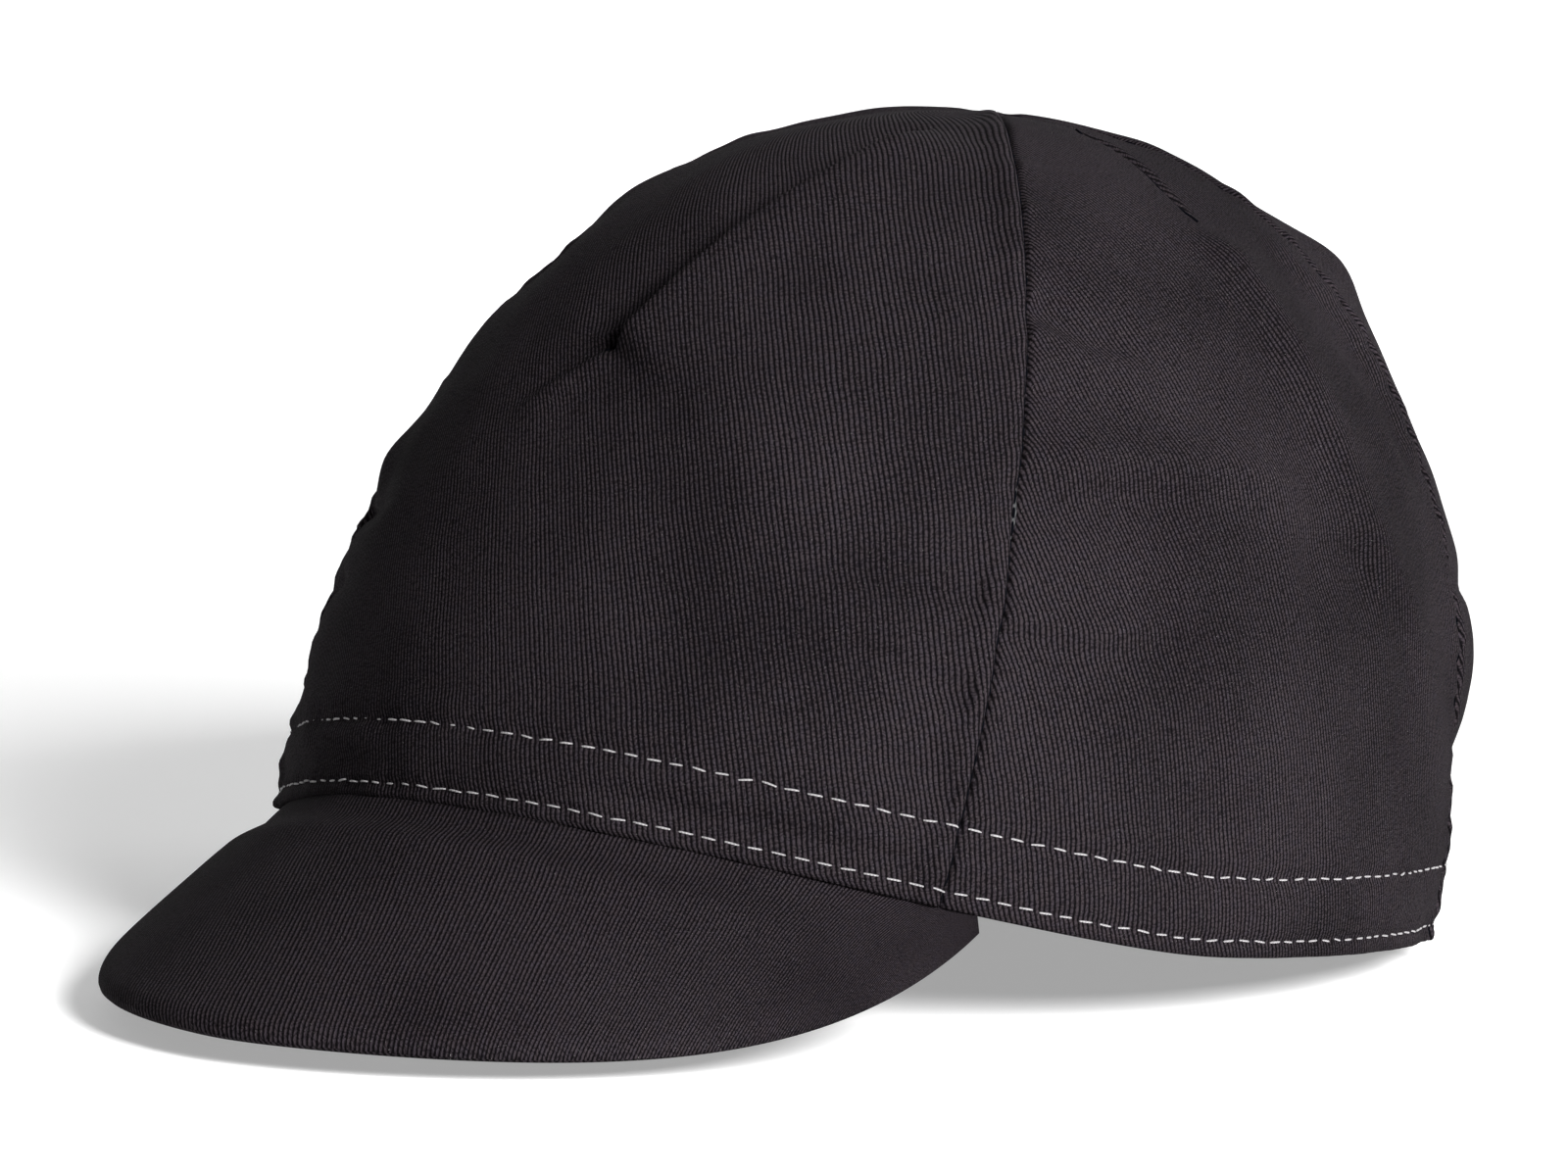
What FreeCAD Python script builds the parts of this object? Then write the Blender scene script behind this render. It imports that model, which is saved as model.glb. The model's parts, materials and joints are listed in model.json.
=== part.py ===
"""Bump cap: a four-panel twill cap with a short stiff peak and a removable vented shell inside.

The cap is drawn level in its own frame: the front faces -Y, the wearer's left is +X, +Z is up, and z = 0
is the bottom edge of the band at the sides and back. The finished pieces are then tipped back together,
so that the cap rests on its peak and on the back of its band, with the origin under the middle.
"""
import FreeCAD, Part
import math
import os

import Sketcher

# name, value (millimetres, or degrees for an angle)
SIZES = [
    ("half_width", 88.0),  # outside of the band, side to centre
    ("half_length", 106.0),  # outside of the band, front or back to centre
    ("crown_height", 128.0),
    ("apex_shift", 19.8),  # how far the top of the crown lies behind the middle of the band
    ("rear_bulge", 4.0),  # how far the back of the crown swells beyond its band
    ("fullness_side", 2.10),  # exponents of the crown's profile: 2 is an ellipse, more is boxier
    ("fullness_front", 2.47),
    ("fullness_rear", 2.50),
    ("front_arch", 14.5),  # rise of the band's bottom edge above the eyes
    ("arch_radius", 387.0),
    ("arch_slope", 3.5),  # how steeply the arch runs down towards the sides
    ("cloth", 1.4),  # crown cloth with its backing
    ("front_seam", 43.2),  # plan angles of the panel seams from the front
    ("rear_seam", 126.0),
    ("seam_meeting", 3.0),  # how far the four seams meet in front of the very top
    ("facing_height", 17.0),  # sweatband
    ("facing", 1.6),
    ("elastic_angle", 32.0),  # half the plan angle that the back elastic covers
    ("tape_width", 12.0),  # tapes over the seams inside the crown
    ("tape", 0.5),
    ("label_height", 10.0),
    ("label_drop", 3.0),  # from the top of the sweatband at the sides to the label
    ("label_start", 108.0),  # plan angles of the label's ends
    ("label_stop", 124.0),
    ("label", 0.3),
    ("lower_row", 2.6),  # heights of the two stitch rows above the bottom edge
    ("upper_row", 12.3),
    ("thread", 0.5),
    ("peak_reach", 48.4),  # how far the peak stands out in front of the band, in plan
    ("peak_half_width", 70.4),
    ("peak_corner", 53.1),  # where the peak's corners meet the band, as an ellipse angle
    ("peak_droop", 32.5),
    ("peak_root", 12.4),  # height of the peak's middle layer at the front of the band
    ("peak_arch_width", 107.0),  # half axes of the ellipse that the peak is curved to
    ("peak_arch_depth", 123.0),
    ("peak_board", 1.8),
    ("peak_cloth", 1.0),
    ("peak_rim", 2.5),  # cloth beyond the board's edge
    ("seam_gap", 0.4),  # between the band and the peak, which flexes there
    ("shell_play", 1.2),  # between the sweatband and the shell that slides past it
    ("shell", 2.0),
    ("shell_rim", 8.0),  # height of the shell's rim above the band's edge
    ("vent_width", 8.0),
    ("vent_start", 29.0),  # how far out from the middle the side vents are cut
    ("vent_low", 58.0),
    ("vent_high", 84.0),
    ("top_vent_length", 24.0),
    ("pad", 4.0),
    ("pad_low", 26.0),
    ("pad_high", 52.0),
    ("front_pad_angle", 30.0),
    ("side_pad_angle", 26.0),
    ("rear_pad_angle", 28.0),
    ("top_pad_radius", 24.0),
    ("grip", 1.2),  # hook tabs on the shell and loop tabs on the crown
    ("grip_gap", 0.4),
    ("grip_angle", 9.0),
    ("grip_low", 88.0),
    ("grip_high", 104.0),
]
# Share of the crown's height at which each outline of a dome is drawn, below its top point.
LEVELS = [0.0, 0.12, 0.26, 0.42, 0.58, 0.72, 0.84, 0.93, 0.98]
SKIRT = 30.0  # straight length below z = 0, trimmed away by the band's edge
FAR = 2.2  # reach of cutting shapes, in half lengths of the band
TOP_VENTS = 6
SIDE_VENTS = 16  # evenly spaced places round the shell; those behind a grip tab have no vent
GRIPS = 4
EDGE_POINTS = 90  # points looked at along each edge to find what the cap rests on
MOST_TILT = 30.0  # degrees
HALVINGS = 40

doc = FreeCAD.newDocument("BumpCap")
sheet = doc.addObject("Spreadsheet::Sheet", "Sizes")
for row, (alias, value) in enumerate(SIZES, start=1):
    sheet.set(f"A{row}", alias)
    sheet.set(f"B{row}", str(value))
    sheet.setAlias(f"B{row}", alias)
doc.recompute()


def size(alias):
    """The number that the sheet holds under an alias."""
    return float(sheet.get(alias))


def bind(item, **formulas):
    """Ties properties to formulas; a double underscore stands for a dot in the property's path."""
    for path, formula in formulas.items():
        item.setExpression(path.replace("__", "."), formula)
    return item


def named(words):
    """A formula in the sheet's aliases, with each alias written as the sheet's own."""
    for alias, _ in sorted(SIZES, key=lambda pair: -len(pair[0])):
        words = words.replace(f"[{alias}]", f"Sizes.{alias}")
    return words


# ---- small building blocks -------------------------------------------------------------------------


def cut(name, base, tool):
    made = doc.addObject("Part::Cut", name)
    made.Base = base
    made.Tool = tool
    return made


def common(name, *shapes):
    made = doc.addObject("Part::MultiCommon", name)
    made.Shapes = list(shapes)
    return made


def fuse(name, *shapes):
    made = doc.addObject("Part::MultiFuse", name)
    made.Shapes = list(shapes)
    return made


def flat_ellipse(name, along_x, along_y, centre_y="0", level="0"):
    """A level ellipse whose longer axis runs front to back."""
    ring = doc.addObject("Part::Ellipse", name)
    ring.Placement = FreeCAD.Placement(FreeCAD.Vector(), FreeCAD.Rotation(FreeCAD.Vector(0, 0, 1), 90))
    bind(ring, MajorRadius=named(along_y), MinorRadius=named(along_x))
    bind(ring, Placement__Base__y=named(centre_y), Placement__Base__z=named(level))
    return ring


def upright(name, outline):
    """A tall straight prism on a level outline, well past the cap above and below."""
    prism = doc.addObject("Part::Extrusion", name)
    prism.Base = outline
    prism.DirMode = "Custom"
    prism.Dir = FreeCAD.Vector(0, 0, 1)
    prism.Solid = True
    bind(prism, LengthFwd=named("2 * [crown_height]"), LengthRev=named("[crown_height]"))
    return prism


def dome(name, inset, swollen):
    """The crown's blank, drawn in by an inset: ellipses lofted up to a top point behind the middle."""
    rings = []
    for number, level in enumerate([-SKIRT] + LEVELS):
        share = max(level, 0.0)
        side = f"(1 - {share} ^ [fullness_side]) ^ (1 / [fullness_side])"
        front = f"([half_length] - ({inset})) * (1 - {share} ^ [fullness_front]) ^ (1 / [fullness_front])"
        rear = f"([half_length] - ({inset})) * (1 - {share} ^ [fullness_rear]) ^ (1 / [fullness_rear])"
        swell = f"[rear_bulge] * {4 * share * (1 - share)}" if swollen else "0"
        rise = f"([crown_height] - ({inset})) * {share}" if level >= 0 else f"-{SKIRT}"
        rings.append(
            flat_ellipse(
                f"{name}_ring_{number}",
                f"([half_width] - ({inset})) * {side}",
                f"({front} + {rear} + {swell}) / 2",
                f"({rear} + {swell} - {front}) / 2 + [apex_shift] * {share}",
                rise,
            )
        )
    top = doc.addObject("Part::Vertex", f"{name}_top")
    bind(top, Y=named("[apex_shift]"), Z=named(f"[crown_height] - ({inset})"))
    made = doc.addObject("Part::Loft", name)
    made.Sections = rings + [top]
    made.Solid = True
    made.Ruled = False
    return made


# Depths below the crown's outer face. Those of the cloth itself follow its swell at the back.
OUTSIDE = "0"
THREAD_FACE = "-[thread]"
LINING = "[cloth]"
TAPE_FACE = "[cloth] + [tape]"
LOOP_FACE = "[cloth] + [grip]"
FACING_FACE = "[cloth] + [facing]"
LABEL_FACE = "[cloth] + [facing] + [label]"
HOOK_FACE = "[cloth] + [grip] + [grip_gap]"
SHELL_FACE = "[cloth] + [facing] + [shell_play]"
SHELL_BACK = f"{SHELL_FACE} + [shell]"
PAD_FACE = f"{SHELL_BACK} + [pad]"
SWOLLEN = (OUTSIDE, THREAD_FACE, LINING, TAPE_FACE, LOOP_FACE)
domes = {}


def layer(name, outer, inner):
    """The space between two depths below the crown's outer face."""
    for inset in (outer, inner):
        if inset not in domes:
            domes[inset] = dome(f"dome_{len(domes)}", inset, inset in SWOLLEN)
    return cut(name, domes[outer], domes[inner])


def under_edge(name, rise="0"):
    """Everything below the band's bottom edge, which arches up over the eyes, raised by a given rise."""
    far = f"{FAR} * [half_length]"
    arch = doc.addObject("Part::Cylinder", f"{name}_arch")
    slope = FreeCAD.Rotation(FreeCAD.Vector(1, 0, 0), 90 - size("arch_slope"))
    arch.Placement = FreeCAD.Placement(FreeCAD.Vector(), slope)
    bind(arch, Radius=named("[arch_radius]"), Height=named(f"2 * {far}"))
    bind(arch, Placement__Rotation__Angle=named("90 - [arch_slope]"))
    behind = f"{far} * cos([arch_slope]) - [arch_radius] * sin([arch_slope]) - [half_length]"
    below = f"[front_arch] + {rise} - [arch_radius] * cos([arch_slope]) - {far} * sin([arch_slope])"
    bind(arch, Placement__Base__y=named(behind), Placement__Base__z=named(below))
    floor = doc.addObject("Part::Box", f"{name}_floor")
    bind(floor, Length=named(f"2 * {far}"), Width=named(f"2 * {far}"), Height=named(f"4 * {far}"))
    bind(floor, Placement__Base__x=named(f"-{far}"), Placement__Base__y=named(f"-{far}"))
    bind(floor, Placement__Base__z=named(f"{rise} - 4 * {far}"))
    return fuse(name, arch, floor)


def between(name, low, high):
    """A level slab from one height to another."""
    slab = doc.addObject("Part::Box", name)
    side = f"{FAR} * [half_length]"
    bind(slab, Length=named(f"2 * {side}"), Width=named(f"2 * {side}"), Height=named(f"{high} - ({low})"))
    bind(slab, Placement__Base__x=named(f"-{side}"), Placement__Base__y=named(f"-{side}"))
    bind(slab, Placement__Base__z=named(low))
    return slab


def slanted_prism(name, corners):
    """A prism on a plan polygon that leans back with the crown. A corner is (x formula, x, y formula, y)."""
    outline = doc.addObject("Sketcher::SketchObject", f"{name}_plan")
    count = len(corners)
    for number in range(count):
        start = FreeCAD.Vector(corners[number][1], corners[number][3], 0)
        stop = FreeCAD.Vector(corners[(number + 1) % count][1], corners[(number + 1) % count][3], 0)
        outline.addGeometry(Part.LineSegment(start, stop), False)
    for number in range(count):
        outline.addConstraint(Sketcher.Constraint("Coincident", number, 2, (number + 1) % count, 1))
    for number, (x_words, x, y_words, y) in enumerate(corners):
        for kind, words, value in (("DistanceX", x_words, x), ("DistanceY", y_words, y)):
            if value == 0:
                axis = -2 if kind == "DistanceX" else -1
                outline.addConstraint(Sketcher.Constraint("PointOnObject", number, 1, axis))
                continue
            ends = (-1, 1, number, 1) if value > 0 else (number, 1, -1, 1)
            index = outline.addConstraint(Sketcher.Constraint(kind, *ends, abs(value)))
            outline.setExpression(f"Constraints[{index}]", named(f"abs({words})"))
    prism = doc.addObject("Part::Extrusion", name)
    prism.Base = outline
    prism.DirMode = "Custom"
    prism.Dir = FreeCAD.Vector(0, size("apex_shift"), size("crown_height"))
    prism.Solid = True
    bind(prism, Dir__y=named("[apex_shift]"), Dir__z=named("[crown_height]"))
    bind(prism, LengthFwd=named("2 * [crown_height]"), LengthRev=named("[crown_height]"))
    return prism


def corner(angle, reach, aside=("0", 0.0)):
    """A plan point at a reach along the ray at an angle from the front, moved aside across that ray."""
    turn = math.radians(angle[1])
    x = reach[1] * math.sin(turn) + aside[1] * math.cos(turn)
    y = -reach[1] * math.cos(turn) + aside[1] * math.sin(turn)
    x_words = f"({reach[0]}) * sin({angle[0]}) + ({aside[0]}) * cos({angle[0]})"
    y_words = f"({aside[0]}) * sin({angle[0]}) - ({reach[0]}) * cos({angle[0]})"
    return (x_words, x, y_words, y)


def angle(base, sign=0, alias="front_seam"):
    """A plan angle from the front, towards the wearer's left, as (formula, value)."""
    return (f"({base} + {sign} * [{alias}])", base + sign * size(alias))


def wedge(name, start, stop):
    """The sector of the crown between two plan angles, from where the panel seams meet outwards."""
    far = (f"{FAR} * [half_length]", FAR * size("half_length"))
    heart = ("0", 0, "[seam_meeting]", -size("seam_meeting"))
    return slanted_prism(name, [heart, corner(start, far), corner(stop, far)])


def strip(name, along, half_width, start, stop):
    """A strip of one width that runs outwards along a plan angle."""
    left = (f"-({half_width[0]})", -half_width[1])
    corners = [corner(along, start, left), corner(along, stop, left)]
    corners += [corner(along, stop, half_width), corner(along, start, half_width)]
    return slanted_prism(name, corners)


pieces = {}


def piece(node, shape):
    """Names a finished sub-part after its node."""
    shape.Label = node
    pieces[node] = shape


# ---- the cloth cap ---------------------------------------------------------------------------------


def crown_panels():
    """Four panels, each a part of one cloth dome, that meet at four seams running up to the top."""
    trimmed = cut("crown_cloth", layer("crown_wall", OUTSIDE, LINING), under_edge("hem"))
    right_front = angle(0, -1, "front_seam")
    left_front = angle(0, 1, "front_seam")
    left_rear = angle(0, 1, "rear_seam")
    right_rear = angle(360, -1, "rear_seam")
    piece("crown_front_panel", common("front_panel", trimmed, wedge("front_sector", right_front, left_front)))
    piece("crown_left_panel", common("left_panel", trimmed, wedge("left_sector", left_front, left_rear)))
    piece("crown_rear_panel", common("rear_panel", trimmed, wedge("rear_sector", left_rear, right_rear)))
    right_side = wedge("right_sector", right_rear, angle(360, -1, "front_seam"))
    piece("crown_right_panel", common("right_panel", trimmed, right_side))


def seam_tapes():
    """A narrow tape over the inside of each panel seam, from the sweatband to near the top."""
    half_tape = ("[tape_width] / 2", size("tape_width") / 2)
    start = ("[tape_width]", size("tape_width"))
    far = (f"{FAR} * [half_length]", FAR * size("half_length"))
    skin = layer("tape_layer", LINING, TAPE_FACE)
    above = between("tape_heights", "[front_arch] + [facing_height] + [seam_gap]", "2 * [crown_height]")
    seams = {
        "left_front": angle(0, 1, "front_seam"),
        "left_rear": angle(0, 1, "rear_seam"),
        "right_rear": angle(0, -1, "rear_seam"),
        "right_front": angle(0, -1, "front_seam"),
    }
    for side, along in seams.items():
        path = strip(f"tape_path_{side}", along, half_tape, start, far)
        piece(f"seam_tape_{side}", common(f"tape_{side}", skin, path, above))


def sweatband():
    """A facing sewn inside the band's edge, with an elastic in its place across the back."""
    ring = layer("facing_layer", LINING, FACING_FACE)
    lifted = cut("facing_bottom", ring, under_edge("facing_hem", "[thread]"))
    band = common("facing_band", lifted, under_edge("facing_top", "[facing_height]"))
    back = wedge("elastic_sector", angle(180, -1, "elastic_angle"), angle(180, 1, "elastic_angle"))
    piece("sweatband", cut("facing_front_and_sides", band, back))
    piece("rear_elastic", common("facing_back", band, back))


def care_label():
    """A small blank label on the inside of the sweatband, at the wearer's left."""
    top = "[facing_height] - [label_drop]"
    tag = common(
        "label_patch",
        layer("label_layer", FACING_FACE, LABEL_FACE),
        wedge("label_sector", angle(0, 1, "label_start"), angle(0, 1, "label_stop")),
        between("label_heights", f"{top} - [label_height]", top),
    )
    piece("care_label", tag)


def stitch_rows():
    """The thread of the two rows that hold the sweatband, as thin rings proud of the band."""
    proud = layer("thread_layer", THREAD_FACE, OUTSIDE)
    for row in ("lower_row", "upper_row"):
        above = cut(f"{row}_above", proud, under_edge(f"{row}_bottom", f"[{row}] - [thread] / 2"))
        ring = common(f"{row}_ring", above, under_edge(f"{row}_top", f"[{row}] + [thread] / 2"))
        piece(f"topstitch_{row.split('_')[0]}", ring)


def loop_and_hook_tabs():
    """Gripping tabs at the front, back and sides: loops on the crown, hooks on the shell facing them."""
    sectors = []
    for number in range(GRIPS):
        start = angle(number * 360 / GRIPS, -1, "grip_angle")
        stop = angle(number * 360 / GRIPS, 1, "grip_angle")
        sectors.append(wedge(f"grip_sector_{number}", start, stop))
    heights = between("grip_heights", "[grip_low]", "[grip_high]")
    places = common("grip_places", fuse("grip_sectors", *sectors), heights)
    piece("loop_tabs", common("loops", layer("loop_layer", LINING, LOOP_FACE), places))
    piece("hook_tabs", common("hooks", layer("hook_layer", HOOK_FACE, SHELL_FACE), places))


# ---- the peak --------------------------------------------------------------------------------------


def peak_bend(name, lift):
    """A drooping elliptical cylinder, raised off the peak's middle layer by a lift."""
    ring = doc.addObject("Part::Ellipse", f"{name}_ring")
    axes = (FreeCAD.Vector(0, 0, 1), FreeCAD.Vector(1, 0, 0), FreeCAD.Vector(0, 1, 0))
    facing_back = FreeCAD.Rotation(*axes, "ZXY")
    ring.Placement = FreeCAD.Placement(FreeCAD.Vector(), facing_back)
    bind(ring, MajorRadius=named(f"[peak_arch_depth] + {lift}"))
    bind(ring, MinorRadius=named(f"[peak_arch_width] + {lift}"))
    bind(ring, Placement__Base__z=named("-[peak_arch_depth]"))
    bend = doc.addObject("Part::Extrusion", name)
    bend.Base = ring
    bend.DirMode = "Custom"
    bend.Dir = FreeCAD.Vector(0, -1, 0)
    bend.Solid = True
    bind(bend, LengthFwd=named("2 * [half_length]"), LengthRev=named("2 * [half_length]"))
    droop = FreeCAD.Rotation(FreeCAD.Vector(1, 0, 0), size("peak_droop"))
    bend.Placement = FreeCAD.Placement(FreeCAD.Vector(), droop)
    bind(bend, Placement__Rotation__Angle=named("[peak_droop]"))
    bind(bend, Placement__Base__y=named("-[half_length]"), Placement__Base__z=named("[peak_root]"))
    return bend


def peak_plan(name, inset):
    """The peak's outline in plan: half an ellipse that stands out from the band, drawn in by an inset."""
    middle = "-[half_length] * cos([peak_corner])"
    reach = f"[half_length] + [peak_reach] + {middle}"
    outline = upright(
        f"{name}_outline",
        flat_ellipse(f"{name}_outline_ring", f"[peak_half_width] - {inset}", f"{reach} - {inset}", middle),
    )
    return cut(name, outline, dome(f"{name}_band", f"-[seam_gap] - {inset}", swollen=True))


def peak():
    """A stiff board between two cloth covers that meet in a rim round it."""
    full = peak_plan("peak_full", "0")
    inner = peak_plan("peak_inner", "[peak_rim]")
    middle = peak_bend("peak_middle", "0")
    board_top = peak_bend("peak_board_top", "[peak_board] / 2")
    board_bottom = peak_bend("peak_board_bottom", "-[peak_board] / 2")
    top = peak_bend("peak_top", "[peak_board] / 2 + [peak_cloth]")
    bottom = peak_bend("peak_bottom", "-[peak_board] / 2 - [peak_cloth]")
    near = between("peak_heights", "-[crown_height] / 2", "[crown_height]")
    board = common("board", cut("board_sheet", board_top, board_bottom), inner, near)
    piece("peak_board", board)
    upper = common("upper_half", cut("upper_sheet", top, middle), full, near)
    lower = common("lower_half", cut("lower_sheet", middle, bottom), full, near)
    piece("peak_top_cover", cut("upper_cover", upper, board))
    piece("peak_bottom_cover", cut("lower_cover", lower, board))


# ---- the shell and its pads ------------------------------------------------------------------------


def vents():
    """Slots round the shell's sides, and six shorter ones round its top."""
    half_vent = ("[vent_width] / 2", size("vent_width") / 2)
    start = ("[vent_start]", size("vent_start"))
    far = (f"{FAR} * [half_length]", FAR * size("half_length"))
    slots = []
    for number in range(SIDE_VENTS):
        if number % (SIDE_VENTS // GRIPS):
            along = angle(number * 360 / SIDE_VENTS)
            slots.append(strip(f"vent_{number}", along, half_vent, start, far))
    side_vents = common(
        "side_vents", fuse("side_slots", *slots), between("vent_heights", "[vent_low]", "[vent_high]")
    )
    inner = ("[top_pad_radius] + [pad]", size("top_pad_radius") + size("pad"))
    outer = (f"{inner[0]} + [top_vent_length]", inner[1] + size("top_vent_length"))
    slots = []
    for number in range(TOP_VENTS):
        along = angle((number + 0.5) * 360 / TOP_VENTS)
        slots.append(strip(f"top_vent_{number}", along, half_vent, inner, outer))
    top_vents = common(
        "top_vents", fuse("top_slots", *slots), between("top_heights", "[grip_high]", "2 * [crown_height]")
    )
    return fuse("vents", side_vents, top_vents)


def protective_shell():
    """The hard vented shell, whose rim stops inside the sweatband."""
    wall = layer("shell_wall", SHELL_FACE, SHELL_BACK)
    trimmed = cut("shell_trimmed", wall, under_edge("shell_edge", "[shell_rim]"))
    piece("protective_shell", cut("vented_shell", trimmed, vents()))


def pads():
    """Foam pads glued inside the shell, where the head bears on it."""
    foam = layer("foam_layer", SHELL_BACK, PAD_FACE)
    heights = between("pad_heights", "[pad_low]", "[pad_high]")
    centres = {"front": (0, "front_pad_angle"), "left": (90, "side_pad_angle")}
    centres.update({"rear": (180, "rear_pad_angle"), "right": (270, "side_pad_angle")})
    for side, (centre, alias) in centres.items():
        sector = wedge(f"pad_sector_{side}", angle(centre, -1, alias), angle(centre, 1, alias))
        piece(f"pad_{side}", common(f"foam_{side}", foam, sector, heights))
    post = doc.addObject("Part::Cylinder", "top_post")
    bind(post, Radius=named("[top_pad_radius]"), Height=named("2 * [crown_height]"))
    bind(post, Placement__Base__y=named("[apex_shift]"))
    upper = between("top_pad_heights", "[crown_height] / 2", "2 * [crown_height]")
    piece("pad_crown", common("foam_crown", foam, post, upper))


crown_panels()
seam_tapes()
sweatband()
care_label()
stitch_rows()
loop_and_hook_tabs()
peak()
protective_shell()
pads()
doc.recompute()

for item in doc.Objects:
    if "Invalid" in item.State or "Error" in item.State:
        raise RuntimeError(f"{item.Name} failed: {item.State}")
for node, item in pieces.items():
    if item.Shape.isNull() or not item.Shape.isValid() or not item.Shape.Solids:
        raise RuntimeError(f"{node} has no valid solid")

# ---- the cap at rest -------------------------------------------------------------------------------


def edge_points(shape):
    """Points along a shape's edges, where its lowest point lies."""
    solid_edges = [edge for edge in shape.Edges if not edge.Degenerated]
    return [point for edge in solid_edges for point in edge.discretize(Number=EDGE_POINTS)]


def tipped_height(point, tilt):
    """Height of a point once the cap is tipped back about X."""
    return point.z * math.cos(tilt) - point.y * math.sin(tilt)


def resting_tilt():
    """The tilt at which the peak and the back of the band touch one level surface."""
    front = edge_points(pieces["peak_bottom_cover"].Shape)
    back = edge_points(pieces["crown_rear_panel"].Shape)
    low, high = 0.0, math.radians(MOST_TILT)
    for _ in range(HALVINGS):
        tilt = (low + high) / 2
        if min(tipped_height(p, tilt) for p in front) < min(tipped_height(p, tilt) for p in back):
            low = tilt
        else:
            high = tilt
    return math.degrees(high)


tilt = resting_tilt()
tipped = FreeCAD.Placement(FreeCAD.Vector(), FreeCAD.Rotation(FreeCAD.Vector(1, 0, 0), -tilt))
outer = Part.makeCompound([item.Shape for item in pieces.values()])
outer.Placement = tipped
extent = outer.optimalBoundingBox()
tipped.Base = FreeCAD.Vector(0, -(extent.YMin + extent.YMax) / 2, -extent.ZMin)
os.makedirs("parts", exist_ok=True)
for node, item in pieces.items():
    item.Placement = tipped
    item.Shape.exportStep(f"parts/{node}.step")
    print(f"{node}: {item.Shape.Volume:.0f} mm3, {len(item.Shape.Solids)} solid(s)")
print(f"tipped back by {tilt:.3f} degrees, moved by {tuple(tipped.Base)}")
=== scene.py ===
import json
import math

import bpy
import numpy as np
from mathutils import Matrix, Vector


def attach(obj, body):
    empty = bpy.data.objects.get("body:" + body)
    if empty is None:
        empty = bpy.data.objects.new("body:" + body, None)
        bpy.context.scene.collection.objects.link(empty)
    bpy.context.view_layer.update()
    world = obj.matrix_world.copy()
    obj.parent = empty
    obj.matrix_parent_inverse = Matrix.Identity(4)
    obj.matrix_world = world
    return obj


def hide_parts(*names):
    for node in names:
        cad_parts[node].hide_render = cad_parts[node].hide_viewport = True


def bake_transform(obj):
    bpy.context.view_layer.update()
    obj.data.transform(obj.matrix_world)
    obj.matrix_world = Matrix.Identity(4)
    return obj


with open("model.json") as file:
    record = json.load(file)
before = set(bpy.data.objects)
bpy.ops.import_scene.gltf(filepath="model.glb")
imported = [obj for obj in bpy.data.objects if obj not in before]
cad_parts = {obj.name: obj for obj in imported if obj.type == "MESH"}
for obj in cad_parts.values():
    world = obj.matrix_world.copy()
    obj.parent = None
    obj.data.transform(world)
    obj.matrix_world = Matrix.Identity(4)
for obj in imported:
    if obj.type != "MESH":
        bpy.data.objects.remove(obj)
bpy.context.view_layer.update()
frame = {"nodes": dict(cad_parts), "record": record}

# ---- the cap's own frame: millimetres, front -Y, wearer's left +X, z = 0 at the band's edge ----------

HEAD = frame["record"]["mounts"][0]
ORIGIN = np.array(HEAD["pos_m"]) * 1000
UP = -np.array(HEAD["axis"])
SIDEWAYS = np.array([1.0, 0.0, 0.0])
BACK = np.cross(UP, SIDEWAYS)


def to_row(p):
    """Points in the cap's frame, in millimetres, as row-frame metres."""
    return (ORIGIN + p[..., 0:1] * SIDEWAYS + p[..., 1:2] * BACK + p[..., 2:3] * UP) / 1000


HALF_WIDTH, HALF_LENGTH, HEIGHT = 88.0, 106.0, 128.0
APEX_SHIFT, REAR_BULGE = 19.8, 4.0
FULL_SIDE, FULL_FRONT, FULL_REAR = 2.10, 2.47, 2.50
ARCH, ARCH_RADIUS, ARCH_SLOPE = 14.5, 387.0, math.radians(3.5)
CLOTH, FACING, PLAY, SHELL, PAD = 1.4, 1.6, 1.2, 2.0, 4.0
SHELL_FACE = CLOTH + FACING + PLAY
SHELL_BACK = SHELL_FACE + SHELL
LOWER_ROW, UPPER_ROW, STITCH = 2.6, 12.3, 3.6
FRONT_SEAM, REAR_SEAM = 48.5, 121.0  # ellipse angles from the front, in degrees
BAND_TOP = 17.0
rng = np.random.default_rng(7)


def smooth(t):
    """0 to 1 with soft ends, as t goes from 0 to 1."""
    t = np.clip(t, 0, 1)
    return t * t * (3 - 2 * t)


def crown(phi, q, inset=0.0, swollen=True):
    """The crown's smooth form at an ellipse angle from the front (radians) and a share of its height."""
    c = np.cos(phi)
    q = np.clip(q, 0, 1)
    n = FULL_SIDE + (np.where(c > 0, FULL_FRONT, FULL_REAR) - FULL_SIDE) * c * c
    s = np.clip(1 - q**n, 0, 1) ** (1 / n)
    swell = np.where(c < 0, REAR_BULGE * 4 * q * (1 - q) * c * c, 0) * swollen
    x = (HALF_WIDTH - inset) * s * np.sin(phi)
    y = -((HALF_LENGTH - inset) * s + swell) * c + APEX_SHIFT * q
    return np.stack([x, y, (HEIGHT - inset) * q + 0 * phi], -1)


def edge_height(x, y):
    """Height of the band's bottom edge, which arches up over the eyes, with a soft run-out to level."""
    sag = ARCH_RADIUS - np.sqrt(ARCH_RADIUS**2 - x * x)
    arch = ARCH - math.tan(ARCH_SLOPE) * (y + HALF_LENGTH) - sag
    return 0.5 * (arch + np.sqrt(arch * arch + 1.2)) - 0.1


def edge_share(phi):
    """Share of the crown's height at which the band's edge lies."""
    q = np.full_like(phi, 0.02)
    for _ in range(4):
        p = crown(phi, q)
        q = np.clip(edge_height(p[..., 0], p[..., 1]), 0, None) / HEIGHT
    return q


def at_height(phi, h):
    """Share of the crown's height at a distance h above the band's edge."""
    return edge_share(phi) + h / HEIGHT


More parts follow.
